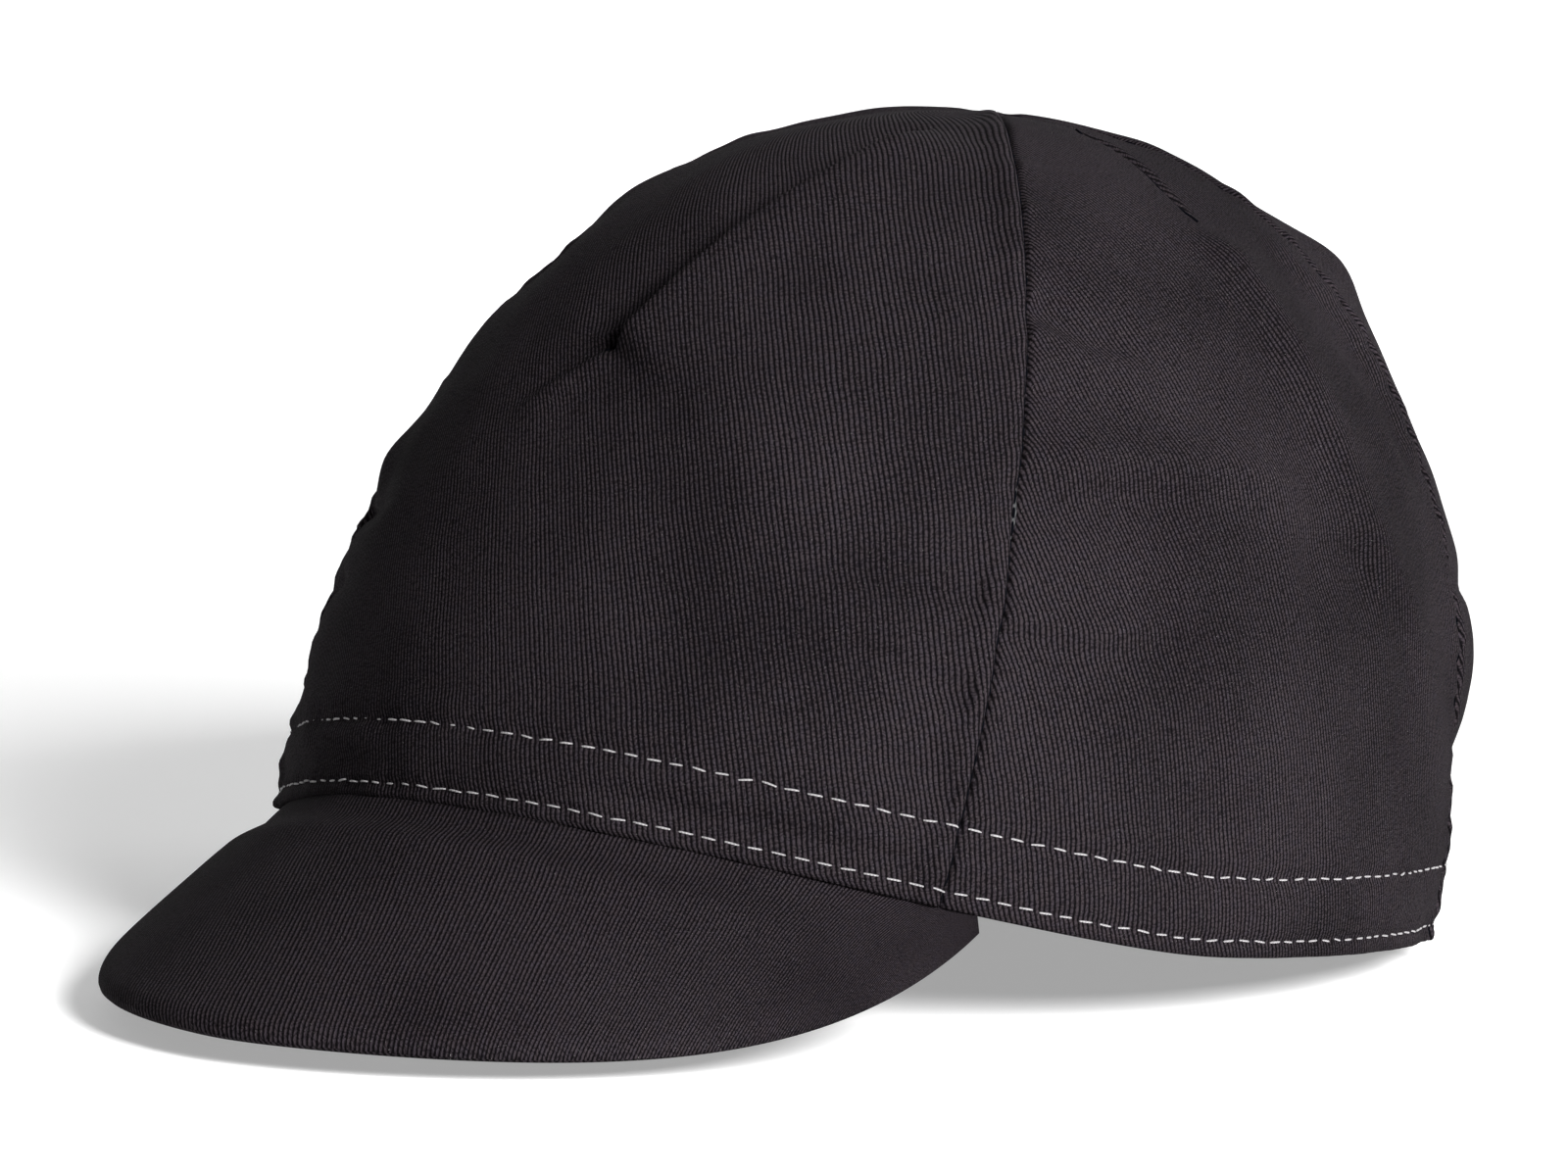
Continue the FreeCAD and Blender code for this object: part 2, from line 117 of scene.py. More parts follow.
def normals(phi, q, inset=0.0, swollen=True):
    """The crown's outward normals, from small steps along and up."""
    e = 1e-4
    q = np.clip(q, 0, 0.9996)
    over, under = np.minimum(q + e, 0.9998), np.maximum(q - e, 0)
    along = crown(phi + e, q, inset, swollen) - crown(phi - e, q, inset, swollen)
    up = crown(phi, over, inset, swollen) - crown(phi, under, inset, swollen)
    n = np.cross(along, up)
    return n / np.maximum(np.linalg.norm(n, axis=-1, keepdims=True), 1e-12)


def spot(phi_deg, z):
    """The point of the smooth crown at an ellipse angle in degrees and a height in millimetres."""
    return crown(np.radians(np.asarray(phi_deg, float)), np.asarray(z, float) / HEIGHT)


# ---- creases, folds and swells of the cloth ----------------------------------------------------------
# A fold: (points as (degrees, height)), (rise and reach to its left), (to its right), softness of the
# step between the sides, lengths over which it fades in and out as shares of its run.

FRONT_DART = [(24, 125), (17, 118.5), (11, 111), (6, 104), (3.4, 97), (0.8, 91), (-1.9, 85.5)]
LEFT_DART = [(96, 126.5), (92, 123), (89, 118), (89, 113)]
FOLDS = [
    (FRONT_DART, (1.4, 12), (-1.0, 9), 0.5, (0.25, 0.06)),
    (FRONT_DART[2:], (-1.2, 1.0), (-1.2, 1.2), 0.5, (0.6, 0.04)),
    ([(7, 101), (2, 93), (-5, 85)], (0.0, 3), (0.85, 3.2), 0.5, (0.5, 0.3)),
    ([(-1, 86.5), (-6, 81), (-13, 74)], (0.7, 4), (-0.4, 5), 0.9, (0.2, 0.6)),
    (LEFT_DART, (-0.55, 0.9), (-0.55, 0.9), 0.4, (0.1, 0.2)),
    (
        [(89, 114), (91, 106), (94, 89), (99, 68), (110, 48), (114, 36)],
        (1.0, 9), (1.0, 5.5), 1.5, (0.12, 0.35),
    ),
    ([(105, 113), (113, 100), (116, 85), (117, 70)], (-1.5, 4.5), (-1.5, 5), 1.2, (0.3, 0.3)),
    ([(26, 60), (34, 57.5), (41, 57), (49, 54)], (-0.3, 5), (-1.2, 3.2), 1.0, (0.5, 0.05)),
    ([(33, 45), (40, 44.5), (49, 39)], (-0.2, 5), (-1.1, 3.0), 1.0, (0.5, 0.05)),
    ([(38, 30), (44, 28), (49, 24)], (-0.2, 4), (-0.6, 3.0), 1.0, (0.5, 0.05)),
    ([(48, 66), (56, 65), (66, 67), (76, 70)], (-1.3, 5.5), (-0.5, 7), 1.6, (0.05, 0.6)),
    ([(50, 72), (62, 74), (76, 74), (90, 70)], (1.1, 6), (0.8, 5), 1.8, (0.2, 0.3)),
    ([(84, 58), (92, 61), (101, 59)], (-1.2, 5), (-1.0, 6), 1.5, (0.4, 0.4)),
    ([(49, 50), (60, 47), (72, 50)], (0.6, 5), (-0.4, 6), 1.8, (0.1, 0.5)),
    ([(49, 96), (58, 92), (70, 90)], (-0.6, 7), (0.4, 8), 2.0, (0.1, 0.5)),
]


def mirrored(run):
    """A run on the left side, carried over to the right side and moved a little."""
    return [(-angle * 0.985 - 1.5, z * 0.97 + 2) for angle, z in run]


# The wearer's right side and the back get folds like those of the left side.
for run, left, right, step, ends in FOLDS[4:15]:
    FOLDS.append((mirrored(run), right, left, step, ends))
FOLDS += [
    ([(168, 125), (174, 112), (178, 98), (181, 88)], (1.0, 9), (-1.3, 7), 0.6, (0.2, 0.08)),
    ([(181, 88), (186, 70), (190, 50)], (0.9, 7), (0.5, 8), 1.8, (0.2, 0.5)),
    ([(121, 58), (134, 54), (150, 56)], (-1.0, 6), (-0.5, 7), 1.5, (0.1, 0.5)),
    ([(239, 74), (226, 69), (210, 72)], (-0.6, 6), (-1.0, 6), 1.5, (0.1, 0.5)),
    ([(121, 30), (132, 27), (146, 30)], (-0.7, 5), (-0.3, 5), 1.2, (0.1, 0.5)),
    ([(239, 36), (228, 31), (214, 33)], (-0.3, 5), (-0.7, 5), 1.2, (0.1, 0.5)),
]
DEPTH = 2.3  # by which every fold's rise is multiplied
LOWEST = 1.3  # how far folds and swells can sink
LOWEST_SEWN = LOWEST + 0.25  # how far the cloth can sink with its seams and stitch rows
# Broad swells: degrees, height, rise, reach.
SWELLS = [
    (-43, 44, 0.9, 20), (-43, 64, 1.7, 6.5), (-42, 87, 1.1, 8), (-40, 98, -1.0, 7), (-38, 110, 1.1, 8),
    (-31, 125, -0.6, 8), (131, 52, 3.4, 15), (128, 19, -1.2, 7), (134, 87, -1.2, 9), (138, 107, 2.6, 8),
    (140, 119, -0.8, 7), (-130, 60, 1.8, 16), (-136, 104, 2.2, 10), (-133, 84, -1.0, 9), (28, 84, 1.2, 22),
    (12, 52, -1.2, 22), (70, 104, 0.9, 18), (62, 34, 1.1, 18), (100, 36, -1.0, 16), (160, 92, 1.2, 20),
    (205, 66, -1.1, 22), (-66, 54, 1.0, 20), (-84, 84, -0.9, 18), (0, 72, -0.9, 14), (180, 40, 0.9, 26),
    (112, 80, 1.3, 10),
]


def along_run(points, p, n):
    """Each point's distance to a run over the crown, positive to its left, and its share along it."""
    dense = []
    for (a, za), (b, zb) in zip(points[:-1], points[1:]):
        for t in np.linspace(0, 1, 7)[:-1]:
            dense.append((a + (b - a) * t, za + (zb - za) * t))
    dense.append(points[-1])
    line = spot([d[0] for d in dense], [d[1] for d in dense])
    best = np.full(p.shape[:-1], 1e9)
    share = np.zeros_like(best)
    side = np.ones_like(best)
    lengths = np.linalg.norm(np.diff(line, axis=0), axis=1)
    total, done = lengths.sum(), 0.0
    for a, b, length in zip(line[:-1], line[1:], lengths):
        d = b - a
        t = np.clip(((p - a) @ d) / (d @ d), 0, 1)
        off = p - (a + t[..., None] * d)
        dist = np.linalg.norm(off, axis=-1)
        closer = dist < best
        best = np.where(closer, dist, best)
        share = np.where(closer, (done + t * length) / total, share)
        side = np.where(closer, np.sign(np.einsum("...i,...i", off, np.cross(n, d)) + 1e-9), side)
        done += length
    return best * side, share


def creases(phi, q, p, n):
    """Rise of the cloth above its smooth form from all folds and swells."""
    rise = np.zeros(p.shape[:-1])
    for run, (left, left_reach), (right, right_reach), step, (fade_in, fade_out) in FOLDS:
        middle = spot(*run[len(run) // 2])
        far = 70 + max(left_reach, right_reach)
        near = np.linalg.norm(p - middle, axis=-1) < far
        if not near.any():
            continue
        d, share = along_run(run, p[near], n[near])
        on_left = 0.5 + 0.5 * np.tanh(d / step)
        body = DEPTH * on_left * left * np.exp(-((d / left_reach) ** 2))
        body += DEPTH * (1 - on_left) * right * np.exp(-((d / right_reach) ** 2))
        rise[near] += body * smooth(share / fade_in) * smooth((1 - share) / fade_out)
    for angle, z, height, reach in SWELLS:
        off = np.linalg.norm(p - spot(angle, z), axis=-1)
        rise += height * np.exp(-((off / reach) ** 2))
    rise += 0.28 * np.sin(phi * 9 + q * 7) * np.sin(q * 13 + phi * 3) * smooth((1 - q) * 8)
    rise += 0.16 * np.sin(phi * 23 - q * 19) * np.sin(q * 31 + phi * 5) * smooth((1 - q) * 5)
    # Cloth can't sink into the tapes and the shell under it.
    return np.where(rise < 0, -LOWEST * np.tanh(-rise / LOWEST), rise)


def band_shape(phi, h):
    """Rise of the cloth in the sewn band: sunk stitch rows, puckers and the puff between the rows."""
    arc = phi * 97
    rise = 0.32 * np.exp(-(((h - 7.4) / 3.4) ** 2)) * (1 + 0.5 * np.sin(arc / 11 + 1) * np.sin(arc / 4.3))
    rise += 0.22 * np.exp(-(((h - 15.4) / 1.8) ** 2))
    for row, phase in ((LOWER_ROW, 0.4), (UPPER_ROW, 2.1)):
        rise -= 0.42 * np.exp(-(((h - row) / 0.85) ** 2))
        pucker = np.sin(arc * 2 * math.pi / STITCH + phase) * 0.07
        pucker += np.sin(arc / 1.9 + phase + h * 0.25) * 0.12
        pucker += np.sin(arc / 3.7 + phase * 3 - h * 0.2) * 0.14
        rise += pucker * np.exp(-(((h - row) / 3.2) ** 2))
    left = smooth((phi - 0.12) / 0.3) * smooth((0.86 - phi) / 0.12)
    right = smooth((-phi - 0.12) / 0.3) * smooth((0.86 + phi) / 0.12)
    rise -= 0.95 * (left + 0.8 * right) * np.exp(-(((h - 5.6) / 1.9) ** 2))
    rise += 0.35 * (left + right) * np.exp(-(((h - 9.6) / 1.8) ** 2))
    return rise


# Panels: start and stop seam, how proud the edges stand, and where the puckers start.
PANELS = {
    "front": (-FRONT_SEAM, FRONT_SEAM, 0.42, 0.3),
    "left": (FRONT_SEAM, REAR_SEAM, 0.0, 1.4),
    "rear": (REAR_SEAM, 360 - REAR_SEAM, 0.3, 2.2),
    "right": (360 - REAR_SEAM, 360 - FRONT_SEAM, 0.0, 3.1),
}
SEAMS = {
    "left_front": FRONT_SEAM,
    "left_rear": REAR_SEAM,
    "right_rear": -REAR_SEAM,
    "right_front": -FRONT_SEAM,
}
# How the front panel's ribs turn with height, as its cloth is drawn over the dome.
FRONT_SWING = 0.0015


def seam_angle(base, q):
    """A seam's ellipse angle in radians: it bows a little and drifts near the top."""
    sign = 1 if base % 360 < 180 else -1
    return np.radians(base + sign * (2.0 * np.sin(math.pi * q) - 3.0 * q**9))


def seam_shape(distance, q, phase, proud):
    """The cloth turns in towards a seam, stands proud or not, and puckers beside it."""
    run = 150 * q
    turn = -0.85 * np.clip(1 - distance, 0, 1) ** 2
    plump = (0.26 + proud) * np.exp(-(((distance - 1.9) / 2.2) ** 2)) + 0.4 * proud * np.exp(-distance / 7)
    ripple = 0.24 * np.sin(run * 2 * math.pi / 7.3 + phase)
    ripple += 0.13 * np.sin(run * 2 * math.pi / 3.9 + phase * 2)
    return turn + plump + ripple * np.exp(-distance / 4.5) * smooth(distance / 0.8)


def panel_relief(part, phi, q):
    """Rise of one panel's cloth from its two seams; the seams' hold fades where the panel narrows."""
    start, stop, proud, phase = PANELS[part]
    first, second = seam_angle(start, q), seam_angle(stop, q)
    scale = np.linalg.norm(crown(phi + 0.004, q) - crown(phi - 0.004, q), axis=-1) / 0.008
    from_start = np.maximum(phi - first, 0) * scale
    from_stop = np.maximum(second - phi, 0) * scale
    relief = seam_shape(from_start, q, phase, proud) + seam_shape(from_stop, q, phase + 2, proud)
    return relief * smooth((second - first) * scale / 14)


def seam_relief(phi, q):
    """Rise of the cloth from the seams, at any angle round the crown."""
    rise = np.zeros(np.broadcast(phi, q).shape)
    for part, (start, stop, _, _) in PANELS.items():
        first, second = seam_angle(start, q), seam_angle(stop, q)
        turned = first + np.mod(phi - first, 2 * math.pi)
        rise = np.where(turned < second, panel_relief(part, turned, q), rise)
    return rise


def cloth_point(phi, q, lift=0.0):
    """Points of the crown's creased outer face, lifted off it by a given distance, and their normals."""
    p = crown(phi, q)
    n = normals(phi, q)
    h = (q - edge_share(phi)) * HEIGHT
    rise = creases(phi, q, p, n) * smooth((h - 3) / 14) + band_shape(phi, h) + seam_relief(phi, q)
    rise = np.maximum(rise, -LOWEST_SEWN)
    return p + n * (rise + lift)[..., None], n


# ---- mesh building ----------------------------------------------------------------------------------


def join_rows(a, b):
    """Faces between two rows of vertex numbers of equal length, or where one has half the other's gaps."""
    if len(a) == len(b):
        return [(a[k], a[k + 1], b[k + 1], b[k]) for k in range(len(a) - 1)]
    if len(b) == 1:
        return [(a[k], a[k + 1], b[0]) for k in range(len(a) - 1)]
    if len(a) < len(b):
        return [face[::-1] for face in join_rows(b, a)]
    faces = []
    for k in range(len(b) - 1):
        faces += [(a[2 * k], a[2 * k + 1], b[k]), (a[2 * k + 1], b[k + 1], b[k])]
        faces.append((a[2 * k + 1], a[2 * k + 2], b[k + 1]))
    return faces


class Build:
    """Collects vertices, faces and per-vertex weave coordinates, then makes one object."""

    def __init__(self):
        self.points, self.weave, self.faces, self.count = [], [], [], 0

    def add(self, p, weave=None):
        """Adds an array of points and returns their numbers in the same shape."""
        flat = np.asarray(p, float).reshape(-1, 3)
        self.points.append(flat)
        w = np.zeros((len(flat), 3))
        if weave is not None:
            w[:, :2] = np.asarray(weave, float).reshape(-1, 2)
        self.weave.append(w)
        numbers = np.arange(self.count, self.count + len(flat)).reshape(np.asarray(p).shape[:-1])
        self.count += len(flat)
        return numbers

    def rows(self, rows, flip=False):
        for a, b in zip(rows[:-1], rows[1:]):
            self.join(a, b, flip)

    def hoops(self, rows, flip=False):
        """Faces between rows that each close on themselves."""
        self.rows([list(row) + [row[0]] for row in rows], flip)

    def join(self, a, b, flip=False):
        faces = join_rows(list(a), list(b))
        self.faces += [f[::-1] for f in faces] if flip else faces

    def closed(self, front, back):
        """A closed sheet between a front and a back grid of numbers of the same shape."""
        self.rows(front)
        self.rows(back, flip=True)
        for a, b, flip in (
            (front[0], back[0], True),
            (front[-1], back[-1], False),
            (front[:, 0], back[:, 0], False),
            (front[:, -1], back[:, -1], True),
        ):
            self.join(a, b, flip)

    def make(self, name, material, body=None, stands_for=(), local=True):
        """Makes the object; its points are in the cap's frame, or in row-frame metres where not local."""
        p = np.concatenate(self.points)
        p = to_row(p) if local else p
        mesh = bpy.data.meshes.new(name)
        mesh.from_pydata([tuple(v) for v in p], [], [tuple(int(i) for i in f) for f in self.faces])
        mesh.update()
        attribute = mesh.attributes.new("weave", "FLOAT_VECTOR", "POINT")
        attribute.data.foreach_set("vector", np.concatenate(self.weave).astype(np.float32).ravel())
        mesh.polygons.foreach_set("use_smooth", [True] * len(mesh.polygons))
        mesh.materials.append(material)
        piece = bpy.data.objects.new(name, mesh)
        bpy.context.scene.collection.objects.link(piece)
        if stands_for:
            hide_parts(*stands_for)
        if body:
            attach(piece, body)
        return piece


def run_length(p, axis):
    """Running length along one axis of a grid of points, from its start."""
    steps = np.linalg.norm(np.diff(p, axis=axis), axis=-1)
    first = np.zeros_like(np.take(steps, [0], axis=axis))
    return np.concatenate([first, np.cumsum(steps, axis=axis)], axis=axis)


def sheet_patch(build, phi, q, face, back, puff, swollen=True):
    """A thin closed patch between two insets over a grid of angles and shares, its edges rounded off."""
    rows, cols = phi.shape
    i = np.minimum(np.arange(rows), np.arange(rows)[::-1])[:, None]
    j = np.minimum(np.arange(cols), np.arange(cols)[::-1])[None, :]
    edge = np.minimum(i, j)
    fall = np.where(edge == 0, 1.0, np.where(edge == 1, 0.35, 0.0)) * 0.35
    n = normals(phi, q, back, swollen)
    base = crown(phi, q, back, swollen)
    outside = base + n * ((back - face) * (1 - fall) + puff)[..., None]
    weave = np.stack([run_length(base, 1), run_length(base, 0)], -1)
    build.closed(build.add(outside, weave), build.add(base, weave))


def tubes(build, lines, up, radius):
    """Thread-like tubes along many centrelines (K, M, 3), thinner towards their ends."""
    count = lines.shape[1]
    t = np.gradient(lines, axis=1)
    t /= np.linalg.norm(t, axis=-1, keepdims=True)
    side = np.cross(t, up)
    side /= np.linalg.norm(side, axis=-1, keepdims=True)
    lift = np.cross(side, t)
    shape = radius * (0.45 + 0.55 * np.sin(np.linspace(0.12, math.pi - 0.12, count)) ** 0.5)
    angles = np.linspace(0, 2 * math.pi, 6, endpoint=False)
    ring = lines[:, :, None, :] + shape[None, :, None, None] * (
        np.cos(angles)[None, None, :, None] * lift[:, :, None, :]
        + np.sin(angles)[None, None, :, None] * side[:, :, None, :]
    )
    weave = np.zeros(ring.shape[:3] + (2,))
    weave[..., 0] = run_length(lines, 1)[:, :, None]
    weave[..., 1] = (angles * radius)[None, None, :]
    numbers = build.add(ring, weave)
    for one in numbers:
        build.hoops(one, flip=True)
        build.faces += [tuple(one[0]), tuple(one[-1][::-1])]


# ---- materials --------------------------------------------------------------------------------------


class Paint:
    """A material's node tree, with short helpers for its nodes."""

    def __init__(self, name, roughness=0.8, specular=0.3, sheen=0.0):
        self.material = bpy.data.materials.new(name)
        self.material.use_nodes = True
        self.tree = self.material.node_tree
        self.tree.nodes.clear()
        out = self.tree.nodes.new("ShaderNodeOutputMaterial")
        self.shader = self.tree.nodes.new("ShaderNodeBsdfPrincipled")
        self.tree.links.new(self.shader.outputs[0], out.inputs[0])
        self.shader.inputs["Roughness"].default_value = roughness
        self.shader.inputs["Specular IOR Level"].default_value = specular
        self.shader.inputs["Sheen Weight"].default_value = sheen

    def node(self, kind, **settings):
        made = self.tree.nodes.new(kind)
        for key, value in settings.items():
            setattr(made, key, value)
        return made

    def feed(self, socket, value):
        if isinstance(value, bpy.types.NodeSocket):
            self.tree.links.new(value, socket)
        elif isinstance(value, tuple):
            socket.default_value = (*value, 1) if len(socket.default_value) == 4 else value
        else:
            socket.default_value = value

    def math(self, operation, *values, clamp=False):
        made = self.node("ShaderNodeMath", operation=operation, use_clamp=clamp)
        for socket, value in zip(made.inputs, values):
            self.feed(socket, value)
        return made.outputs[0]

    def times(self, a, b, clamp=False):
        return self.math("MULTIPLY", a, b, clamp=clamp)

    def plus(self, a, b, clamp=False):
        return self.math("ADD", a, b, clamp=clamp)

    def weave(self):
        """The cloth's own millimetres: across and along its threads."""
        return self.node("ShaderNodeAttribute", attribute_name="weave").outputs["Vector"]

    def split(self, vector):
        made = self.node("ShaderNodeSeparateXYZ")
        self.feed(made.inputs[0], vector)
        return made.outputs[0], made.outputs[1]

    def wave(self, value, pitch, shift=0.0):
        """A 0 to 1 sine of a length, once per pitch."""
        turned = self.math("MULTIPLY_ADD", value, 2 * math.pi / pitch, shift)
        return self.math("MULTIPLY_ADD", self.math("SINE", turned), 0.5, 0.5)

    def place(self):
        return self.node("ShaderNodeTexCoord").outputs["Object"]

    def scaled(self, vector, scale):
        made = self.node("ShaderNodeVectorMath", operation="MULTIPLY")
        self.feed(made.inputs[0], vector)
        self.feed(made.inputs[1], scale)
        return made.outputs[0]

    def noise(self, vector, scale, detail=2.0, roughness=0.5):
        made = self.node("ShaderNodeTexNoise")
        self.feed(made.inputs["Vector"], vector)
        made.inputs["Scale"].default_value = scale
        made.inputs["Detail"].default_value = detail
        made.inputs["Roughness"].default_value = roughness
        return made.outputs["Fac"]

    def range(self, value, low, high, to_low=0.0, to_high=1.0):
        made = self.node("ShaderNodeMapRange", interpolation_type="SMOOTHSTEP")
        for socket, number in zip(made.inputs[:5], (value, low, high, to_low, to_high)):
            self.feed(socket, number)
        return made.outputs[0]

    def mix(self, factor, a, b):
        made = self.node("ShaderNodeMix", data_type="RGBA")
        self.feed(made.inputs["Factor"], factor)
        self.feed(made.inputs[6], a)
        self.feed(made.inputs[7], b)
        return made.outputs[2]

    def bump(self, height, distance, strength=1.0, under=None):
        made = self.node("ShaderNodeBump")
        self.feed(made.inputs["Height"], height)
        made.inputs["Distance"].default_value = distance
        made.inputs["Strength"].default_value = strength
        if under is not None:
            self.feed(made.inputs["Normal"], under)
        return made.outputs[0]

    def finish(self, colour, normal=None, rough=None):
        self.feed(self.shader.inputs["Base Color"], colour)
        if normal is not None:
            self.feed(self.shader.inputs["Normal"], normal)
        if rough is not None:
            self.feed(self.shader.inputs["Roughness"], rough)
        return self.material


RIB_PITCH, FLOAT_LENGTH = 0.80, 0.78
# Dark and light ends of the twill's tone: the dark end is painted shade between the ribs, the light end a
# painted highlight on their tops.
TWILL_WARM = (0.0011, 0.0009, 0.0011), (0.0245, 0.0196, 0.0224)
TWILL_COOL = (0.0009, 0.0009, 0.0015), (0.022, 0.0194, 0.0264)
LINT = (0.42, 0.42, 0.40)


def twill(name, lean):
    """Black twill: slanted ribs of short floats, fuzz, uneven fading and specks of lint, with a painted
    highlight on the rib tops and painted shade in the gaps between them.

    lean is the ribs' angle from the panel's length, in degrees, positive to the right.
    """
    p = Paint(name, roughness=0.86, specular=0.02)
    weave = p.weave()
    u, v = p.split(weave)
    a = math.radians(lean)
    wobble = p.math("MULTIPLY_ADD", p.noise(weave, 0.035), 2.2, -1.1)
    fine = p.math("MULTIPLY_ADD", p.noise(weave, 1.1), 0.2, -0.1)
    across = p.plus(p.times(u, math.cos(a)), p.times(v, -math.sin(a)))
    across = p.plus(across, p.plus(wobble, fine))
    along = p.plus(p.times(u, math.sin(a)), p.times(v, math.cos(a)))
    rib = p.math("POWER", p.wave(across, RIB_PITCH), 0.8)
    which = p.math("FLOOR", p.times(across, 1 / RIB_PITCH))
    stagger = p.math("MULTIPLY_ADD", p.noise(weave, 0.8), 2.4, p.times(which, 2.3))
    floats = p.math("POWER", p.wave(p.plus(along, stagger), FLOAT_LENGTH), 0.6)
    fuzz = p.noise(weave, 5.5, 3.0, 0.65)
    height = p.times(rib, p.math("MULTIPLY_ADD", floats, 0.62, 0.38))
    height = p.plus(height, p.times(fuzz, 0.6))
    # Painted highlight and shade: the higher a rib or float stands, the lighter it is painted, and the gaps
    # between the ribs are painted dark.
    shade = p.times(p.range(height, 0.12, 1.25), p.range(fuzz, 0.25, 0.75, 0.5, 1.5))
    cloudy = p.range(p.noise(p.place(), 26.0, 3.0), 0.3, 0.72, 0.66, 1.45)
    shade = p.times(p.math("POWER", shade, 1.7), cloudy, clamp=True)
    tint = p.range(p.noise(weave, 0.5), 0.35, 0.7, 0.0, 0.35)
    colour = p.mix(tint, p.mix(shade, *TWILL_WARM), p.mix(shade, *TWILL_COOL))
    lint = p.node("ShaderNodeTexVoronoi", voronoi_dimensions="2D")
    p.feed(lint.inputs["Vector"], p.scaled(weave, (0.2, 0.2, 0.2)))
    pick = p.node("ShaderNodeSeparateColor")
    p.feed(pick.inputs[0], lint.outputs["Color"])
    chosen = p.math("GREATER_THAN", pick.outputs[0], 0.72)
    size = p.math("MULTIPLY_ADD", pick.outputs[1], 0.026, 0.008)
    speck = p.times(p.math("LESS_THAN", lint.outputs["Distance"], size), chosen)
    colour = p.mix(p.times(speck, 0.55), colour, LINT)
    normal = p.bump(height, 0.00016, 0.85)
    normal = p.bump(p.noise(p.place(), 190.0, 3.0), 0.0006, 0.35, normal)
    return p.finish(colour, normal, p.range(shade, 0.0, 1.0, 0.93, 0.80))


def plain_weave(name, dark, light, pitch=0.7, sheen=0.12, rib_gain=1.0, bump=0.00012):
    """A fine plain weave: two crossed sets of threads, with uneven tone."""
    p = Paint(name, roughness=0.85, specular=0.25, sheen=sheen)
    weave = p.weave()
    u, v = p.split(weave)
    warp, weft = p.wave(u, pitch), p.wave(v, pitch * rib_gain, 0.8)
    under = p.times(p.math("SUBTRACT", 1.0, warp), p.math("SUBTRACT", 1.0, weft))
    fuzz = p.noise(weave, 4.0, 3.0, 0.6)
    height = p.plus(p.plus(p.times(warp, weft), under), p.times(fuzz, 0.6))
    uneven = p.range(p.noise(p.place(), 40.0), 0.3, 0.7, 0.7, 1.1)
    tone = p.times(p.range(height, 0.2, 1.4), uneven, clamp=True)
    return p.finish(p.mix(tone, dark, light), p.bump(height, bump, 0.9), p.range(fuzz, 0.2, 0.8, 0.92, 0.78))


def thread_paint(name, dark, light, specular, sheen):
    """Twisted sewing thread."""
    p = Paint(name, roughness=0.55, specular=specular, sheen=sheen)
    along, around = p.split(p.weave())
    ply = p.wave(p.math("MULTIPLY_ADD", around, 1.6, along), 0.5)
    fuzz = p.range(p.noise(p.place(), 2500.0), 0.3, 0.7, 0.75, 1.1)
    tone = p.times(p.range(ply, 0.0, 1.0, 0.45, 1.0), fuzz, clamp=True)
    return p.finish(p.mix(tone, dark, light), p.bump(ply, 0.00006))


def plastic(name, dark, light, grain=900.0, roughness=0.42):
    """Moulded plastic with a fine spark-eroded grain and scuffs."""
    p = Paint(name, roughness=roughness, specular=0.45)
    place = p.place()
    grit = p.noise(place, grain, 3.0, 0.6)
    scuff = p.range(p.noise(p.scaled(place, (1.0, 1.0, 4.0)), 60.0, 6.0, 0.75), 0.55, 0.75)
    tone = p.plus(p.times(grit, 0.5), p.times(scuff, 0.35), clamp=True)
    rough = p.plus(p.range(grit, 0.2, 0.8, roughness - 0.06, roughness + 0.1), p.times(scuff, 0.14))
    normal = p.bump(grit, 0.00008, 0.8)
    normal = p.bump(p.noise(place, 30.0), 0.0004, 0.25, normal)
    return p.finish(p.mix(tone, dark, light), normal, rough)


def fuzzy(name, dark, light, scale=1.0):
    """A pile of tiny loops or hooks."""
    p = Paint(name, roughness=0.9, specular=0.2, sheen=0.35)
    weave = p.weave()
    cells = p.node("ShaderNodeTexVoronoi")
    p.feed(cells.inputs["Vector"], weave)
    cells.inputs["Scale"].default_value = 1.7 * scale
    height = p.math("SUBTRACT", 1.0, cells.outputs["Distance"])
    height = p.plus(height, p.times(p.noise(weave, 6.0, 3.0), 0.5))
    return p.finish(p.mix(p.range(height, 0.5, 1.4), dark, light), p.bump(height, 0.0003, 0.9))


def knitted(name, dark, light, pitch=1.1):
    """Foam covered in a fine knitted mesh."""
    p = Paint(name, roughness=0.88, specular=0.22, sheen=0.3)
    weave = p.weave()
    cells = p.node("ShaderNodeTexVoronoi", feature="DISTANCE_TO_EDGE")
    p.feed(cells.inputs["Vector"], weave)
    cells.inputs["Scale"].default_value = 1 / pitch
    cells.inputs["Randomness"].default_value = 0.25
    yarn = p.range(cells.outputs["Distance"], 0.05, 0.3, 1.0, 0.0)
    height = p.plus(yarn, p.times(p.noise(weave, 5.0, 3.0), 0.4))
    uneven = p.range(p.noise(p.place(), 60.0), 0.3, 0.7, 0.75, 1.1)
    tone = p.times(p.range(height, 0.1, 1.2), uneven, clamp=True)
    return p.finish(p.mix(tone, dark, light), p.bump(height, 0.00025, 0.9))


